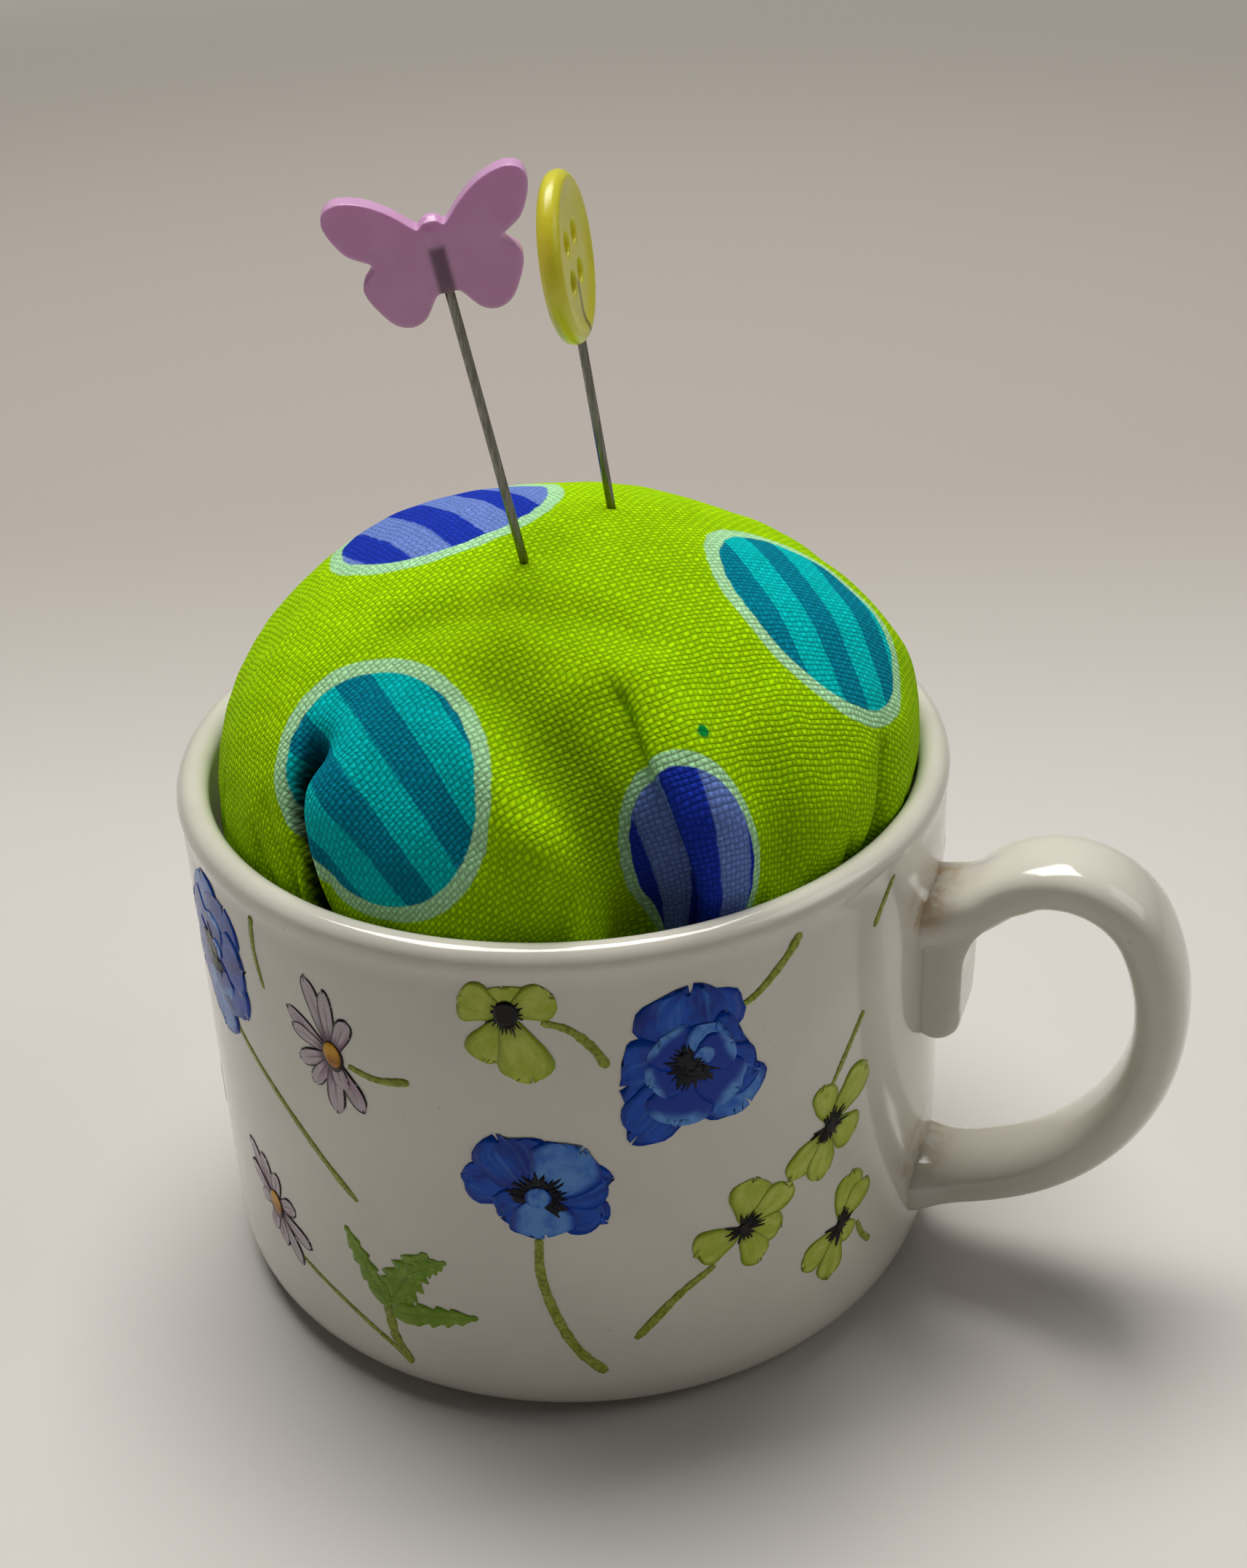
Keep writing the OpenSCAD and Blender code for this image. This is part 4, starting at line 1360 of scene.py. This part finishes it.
def make_handle():
    points, faces = joined([strap_mesh(), spur_mesh(), gusset_mesh()])
    piece = mesh_piece("china_handle", points, faces, "cup", "cup_handle")
    fix_outward(piece)
    soften(piece, HANDLE_VOXEL, 14)
    # the handle ends just inside the wall
    co = points_of(piece.data) / MM
    radius = np.hypot(co[:, 0], co[:, 1])
    keep_in = WALL_R - 0.6
    co[:, :2] *= np.where(radius < keep_in, keep_in / np.maximum(radius, 1e-6), 1)[:, None]
    set_points(piece.data, co * MM)
    return piece


# ---------------------------------------------------------------- the pins

# TURN spins a head about its pin; GRIP is how much of the shaft is inside the head.
BUTTERFLY_TURN = 22.0
BUTTERFLY_T = 1.45
BODY_R = 0.86
BUTTON_TURN = 100.5
BUTTERFLY_GRIP = 3.4
BUTTON_GRIP = 4.2
BUTTON_D = 10.8
BUTTON_T = 1.5
HOLE_R = 0.78
HOLE_PITCH = 1.25
HEAD_VOXEL = 0.1
# Right half of the butterfly, clockwise from the top of its body: across and along from the shaft's exit.
WING = [(0.0, 4.75), (0.5, 4.68), (0.82, 4.4), (1.7, 5.25), (2.5, 5.92), (3.45, 6.5), (4.6, 6.88),
        (5.45, 6.84), (6.0, 6.4), (6.1, 5.6), (5.72, 4.55), (5.12, 3.7), (4.2, 3.12), (3.9, 2.82),
        (4.25, 2.4), (4.72, 1.92), (4.78, 1.2), (4.32, 0.15), (3.58, -0.9), (2.6, -1.3), (1.68, -0.98),
        (0.98, -0.1), (0.6, 0.3), (0.0, 0.3)]


def head_frame(pin, grip, turn_deg):
    """Places a head's own frame, in which the pin runs along +Z out of the origin, in the row frame."""
    top, axis = pin_line(pin)
    axis = Vector(axis).normalized()
    tilt = Vector((0, 0, 1)).rotation_difference(axis).to_matrix().to_4x4()
    start = (Vector(top) - axis * grip) * MM
    return Matrix.Translation(start) @ tilt @ Matrix.Rotation(math.radians(turn_deg), 4, "Z")


def butterfly_outline():
    """Closed outline of the whole butterfly, rounded off between its given points."""
    half = np.array(WING)
    whole = np.concatenate([half, half[-2:0:-1] * [-1, 1]])
    return np.array(curve_through(np.concatenate([whole[-1:], whole, whole[:2]]), 4))


def slab(outline, thickness):
    """Flat solid of an outline, standing in the XZ plane."""
    n = len(outline)
    points = np.concatenate([np.stack([outline[:, 0], 0 * outline[:, 0] + y, outline[:, 1]], 1)
                             for y in (-thickness / 2, thickness / 2)])
    faces = [tuple(range(n)), tuple(reversed(range(n, 2 * n)))]
    faces += [(i, n + i, n + (i + 1) % n, (i + 1) % n) for i in range(n)]
    return points, faces


def turned_round(levels, sides, z_axis):
    """Points of a shape turned from levels (radius, height), about Z, or about Y where z_axis is False."""
    points = []
    for r, h in levels:
        ring = [(r * math.cos(TAU * k / sides), r * math.sin(TAU * k / sides)) for k in range(sides)]
        points += [(x, y, h) if z_axis else (x, h, y) for x, y in ring]
    return np.array(points)


def capsule(bottom, top, radius, rings=10, sides=24):
    """Rounded bar along Z."""
    lower, upper = np.linspace(0.05, math.pi / 2, rings), np.linspace(0, math.pi / 2 - 0.05, rings)
    levels = [(radius * math.sin(a), bottom + radius - radius * math.cos(a)) for a in lower]
    levels += [(radius * math.cos(a), top - radius + radius * math.sin(a)) for a in upper]
    return turned_round(levels, sides, True), tube_faces(len(levels), sides)


def finish_head(piece, rounds, head_matrix):
    soften(piece, HEAD_VOXEL, rounds)
    add_vectors(piece.data, "local", points_of(piece.data) / MM)
    piece.data.transform(head_matrix)
    return piece


def make_butterfly(head_matrix):
    points, faces = joined([slab(butterfly_outline(), BUTTERFLY_T), capsule(0.1, 4.98, BODY_R)])
    piece = mesh_piece("butterfly_head_plastic", points, faces, "butterfly_pin",
                       "butterfly_head")
    fix_outward(piece)
    return finish_head(piece, 9, head_matrix)


def button_profile():
    """Half section of the button: radius from its middle and height off its mid plane."""
    r = BUTTON_D / 2
    half = BUTTON_T / 2
    face = half - 0.3
    top = [(0.02, face), (2.2, face), (3.6, face), (4.1, face + 0.08), (4.5, half - 0.06), (4.85, half)]
    edge = [(r - 0.35, half - 0.1), (r - 0.1, half - 0.34), (r, 0.12)]
    lower = [(a, -b) for a, b in reversed(top + edge)]
    return top + edge + lower


def button_holes():
    """Object of four posts to cut out of the button."""
    holes = []
    for dx in (-HOLE_PITCH, HOLE_PITCH):
        for dz in (-HOLE_PITCH, HOLE_PITCH):
            a = np.arange(28) / 28 * TAU
            rim = np.stack([dx + HOLE_R * np.cos(a), BUTTON_D / 2 + dz + HOLE_R * np.sin(a)], 1)
            holes.append(slab(rim, 4.0))
    points, faces = joined(holes)
    cutter = add_object("holes", new_mesh("holes", points * MM, faces))
    fix_outward(cutter)
    return cutter


def make_button(head_matrix):
    profile = button_profile()
    spins = 96
    points = turned_round(profile, spins, False) + (0, 0, BUTTON_D / 2)
    faces = tube_faces(len(profile), spins)
    piece = mesh_piece("button_head_plastic", points, faces, "button_pin", "button_head")
    fix_outward(piece)
    cutter = button_holes()
    m = piece.modifiers.new("Holes", "BOOLEAN")
    m.operation = "DIFFERENCE"
    m.solver = "EXACT"
    m.object = cutter
    bake_modifiers(piece)
    bpy.data.objects.remove(cutter)
    return finish_head(piece, 5, head_matrix)


def plastic_shader(name, colours, core_top, core_width, transmission):
    """Cloudy plastic in which the end of the steel shaft shows as a darker core."""
    body, deep, edge, core_colour = colours
    s = Shader(name)
    local = s.vector("local")
    x, _, z = s.split(local)
    facing = s.node("ShaderNodeLayerWeight")
    facing.inputs["Blend"].default_value = 0.35
    base = s.mix(s.step(s.noise(local, 0.45, 3), 0.35, 0.65), body, deep)
    # painted highlight: the plastic turns lighter towards its outline
    base = s.mix(Value(s, facing.outputs["Facing"]) * 0.5, base, edge)
    core = s.step(z, core_top, core_top - 0.5) * s.step(z, -0.3, 0.3)
    core = core * s.step(abs(x), core_width, 0.4 * core_width)
    base = s.mix(core * 0.85, base, core_colour)
    s.set(color=base, roughness=0.3, transmission=transmission, ior=1.46, scatter=0.3,
          scatter_radius=(1.0, 0.9, 0.8), scatter_scale=0.0008, coat=0.15, coat_roughness=0.2)
    s.bump(s.noise(local, 2.2, 3), 0.03, 0.6)
    return s


def steel_shader():
    s = Shader("pin_steel")
    drawn = s.noise(s.scaled(s.position(), (9, 9, 0.5)), 1.0, 3)
    s.set(color=s.mix(s.step(drawn, 0.3, 0.7), linear(138, 136, 128), linear(104, 102, 94)), metallic=1.0,
          roughness=drawn * 0.2 + 0.16)
    s.bump(drawn, 0.01, 0.5)
    return s


# ---------------------------------------------------------------- hidden soft and sticky parts


def fill_shader():
    s = Shader("fibrefill")
    tangle = s.noise(s.position(), 1.4, 6, 0.7)
    s.set(color=s.mix(s.step(tangle, 0.35, 0.65), linear(235, 233, 226), linear(205, 203, 196)),
          roughness=0.95, sheen=0.4)
    s.bump(tangle, 0.5)
    return s


def thread_shader():
    s = Shader("gathering_thread")
    x, y, z = s.split(s.position())
    ply = s.math("SINE", s.math("ARCTAN2", y, x) * 26.0 + z * 12.0)
    s.set(color=s.mix(s.step(ply, -0.6, 0.6), linear(66, 86, 30), linear(112, 134, 56)), roughness=0.7,
          sheen=0.3)
    s.bump(ply, 0.06)
    return s


def glue_shader():
    s = Shader("hot_glue")
    cloud = s.noise(s.position(), 0.5, 4)
    s.set(color=s.mix(s.step(cloud, 0.3, 0.7), linear(232, 222, 190), linear(208, 192, 148)), roughness=0.32,
          transmission=0.25, scatter=0.3, scatter_radius=(1.0, 0.9, 0.7), scatter_scale=0.002)
    s.bump(cloud, 0.25)
    return s


# ---------------------------------------------------------------- pieces

# plastic colours: body, a deeper tone, the painted highlight at the outline, and the shaft's core
MAUVE = (linear(240, 178, 230), linear(236, 170, 224), linear(250, 214, 250), linear(104, 66, 92))
YELLOW = (linear(255, 250, 70), linear(250, 240, 50), linear(255, 252, 120), linear(120, 112, 36))

paint(make_cover(), cotton_shader())
paint(make_stuffing(), fill_shader())
china = china_shader()
paint(make_cup(), china)
paint(make_handle(), china)
blue_prints().piece("blue_flower_prints", "blue_print", "anemone_transfers", blue_shader())
olive_prints().piece("olive_flower_prints", "olive_print", "pansy_transfers", olive_shader())
white_prints().piece("white_flower_prints", "white_print", "daisy_transfers", white_shader())
green_prints().piece("leaf_and_stem_prints", "green_print", "leaf_transfers", green_shader())
paint(make_butterfly(head_frame("butterfly", BUTTERFLY_GRIP, BUTTERFLY_TURN)),
      plastic_shader("mauve_plastic", MAUVE, BUTTERFLY_GRIP, 0.7, 0.2))
paint(make_button(head_frame("button", BUTTON_GRIP, BUTTON_TURN)),
      plastic_shader("yellow_plastic", YELLOW, BUTTON_GRIP, 0.4, 0.3))
steel = steel_shader()
glue = glue_shader()
paint(frame["nodes"]["butterfly_shaft"], steel)
paint(frame["nodes"]["button_shaft"], steel)
paint(frame["nodes"]["gathering_thread"], thread_shader())
paint(frame["nodes"]["wall_glue"], glue)
paint(frame["nodes"]["floor_glue"], glue)


# ---------------------------------------------------------------- floor, light and camera

CAMERA_PLACE = (0.0495, -0.1225, 0.1121)
CAMERA_HEADING = 110.24
CAMERA_PITCH = 30.47
CAMERA_ROLL = -2.44
CAMERA_LENS = 50.34
SENSOR = 36.0
BACKDROP = linear(176, 170, 163)
FLOOR_FRONT_M = -1.2
FLOOR_BACK_M = 0.55
FLOOR_HALF_W_M = 1.6
SWEEP_R_M = 0.25
WALL_TOP_M = 1.4
OBJECT_MIDDLE_M = (0, 0, 0.03)
# Distances from the middle, in millimetres, between which the floor fades to the backdrop.
FADE_START = 340
FADE_END = 640


def floor_shader():
    s = Shader("pale_floor")
    x, y, _ = s.split(s.position())
    near = s.mix(s.noise(s.position(), 0.02, 4), linear(214, 210, 206), linear(222, 219, 215))
    heading = math.radians(CAMERA_HEADING)
    behind = x * math.cos(heading) + y * math.sin(heading)
    s.set(color=s.mix(s.step(behind, 20, 140), near, linear(184, 177, 170)), roughness=0.55, specular=0.3)
    # far away the camera sees the plain backdrop instead, which sends no light back to the object
    reach = s.math("SQRT", x * x + y * y)
    seen = Value(s, s.node("ShaderNodeLightPath").outputs["Is Camera Ray"])
    plain = s.fill(s.node("ShaderNodeEmission"), BACKDROP)
    fade = seen * s.step(reach, FADE_START, FADE_END)
    blend = s.fill(s.node("ShaderNodeMixShader"), fade, s.surface.outputs[0], plain)
    s.put(s.tree.nodes["Material Output"].inputs["Surface"], blend)
    return s


def stage_floor():
    """Pale floor that curves up far behind into a pale wall."""
    profile = [(FLOOR_FRONT_M, 0.0), (FLOOR_BACK_M, 0.0)]
    for a in np.linspace(0.1, math.pi / 2, 14):
        profile.append((FLOOR_BACK_M + SWEEP_R_M * math.sin(a), SWEEP_R_M - SWEEP_R_M * math.cos(a)))
    profile.append((FLOOR_BACK_M + SWEEP_R_M, WALL_TOP_M))
    away = Matrix.Rotation(math.radians(CAMERA_HEADING - 90), 4, "Z")
    points = [tuple(away @ Vector((x, y, z))) for x in (-FLOOR_HALF_W_M, FLOOR_HALF_W_M) for y, z in profile]
    n = len(profile)
    faces = [(i, n + i, n + i + 1, i + 1) for i in range(n - 1)]
    floor = add_object("studio_floor", new_mesh("studio_floor", points, faces))
    paint(floor, floor_shader())


def area_light(name, place_m, target_m, size_m, power, colour):
    data = bpy.data.lights.new(name, "AREA")
    data.shape = "RECTANGLE"
    data.size, data.size_y = size_m
    data.energy = power
    data.color = colour
    lamp = add_object(name, data)
    lamp.location = place_m
    lamp.rotation_euler = (Vector(target_m) - Vector(place_m)).to_track_quat("-Z", "Y").to_euler()


def make_camera():
    heading, pitch, roll = (math.radians(a) for a in (CAMERA_HEADING, CAMERA_PITCH, CAMERA_ROLL))
    level = math.cos(pitch)
    forward = Vector((math.cos(heading) * level, math.sin(heading) * level, -math.sin(pitch)))
    right = forward.cross(Vector((0, 0, 1))).normalized()
    up = right.cross(forward)
    c, n = math.cos(roll), math.sin(roll)
    right, up = right * c + up * n, up * c - right * n
    data = bpy.data.cameras.new("camera")
    data.lens = CAMERA_LENS
    data.sensor_width = SENSOR
    data.sensor_fit = "AUTO"
    data.clip_start = 0.01
    data.clip_end = 10
    camera = add_object("camera", data)
    turn = Matrix((right, up, -forward)).transposed().to_4x4()
    camera.matrix_world = Matrix.Translation(CAMERA_PLACE) @ turn
    SCENE.camera = camera


def make_world():
    """Weak light from all round; the camera sees the plain backdrop in its place."""
    world = bpy.data.worlds.new("studio")
    world.use_nodes = True
    nodes, links = world.node_tree.nodes, world.node_tree.links
    glow = nodes["Background"]
    glow.inputs["Color"].default_value = linear(200, 198, 196)
    glow.inputs["Strength"].default_value = 0.09
    plain = nodes.new("ShaderNodeBackground")
    plain.inputs["Color"].default_value = BACKDROP
    choose = nodes.new("ShaderNodeMixShader")
    links.new(nodes.new("ShaderNodeLightPath").outputs["Is Camera Ray"], choose.inputs[0])
    links.new(glow.outputs[0], choose.inputs[1])
    links.new(plain.outputs[0], choose.inputs[2])
    links.new(choose.outputs[0], nodes["World Output"].inputs["Surface"])
    SCENE.world = world


stage_floor()
make_camera()
area_light("top_light", (-0.10, 0.15, 0.60), OBJECT_MIDDLE_M, (0.42, 0.30), 3.7, (1.0, 0.985, 0.95))
area_light("fill_light", (0.50, 0.10, 0.42), (0.03, 0, 0.03), (0.35, 0.35), 0.5, (1.0, 0.98, 0.95))
area_light("left_light", (-0.50, -0.35, 0.40), OBJECT_MIDDLE_M, (0.5, 0.4), 0.08, (0.96, 0.98, 1.0))
make_world()
SCENE.view_settings.view_transform = "Standard"
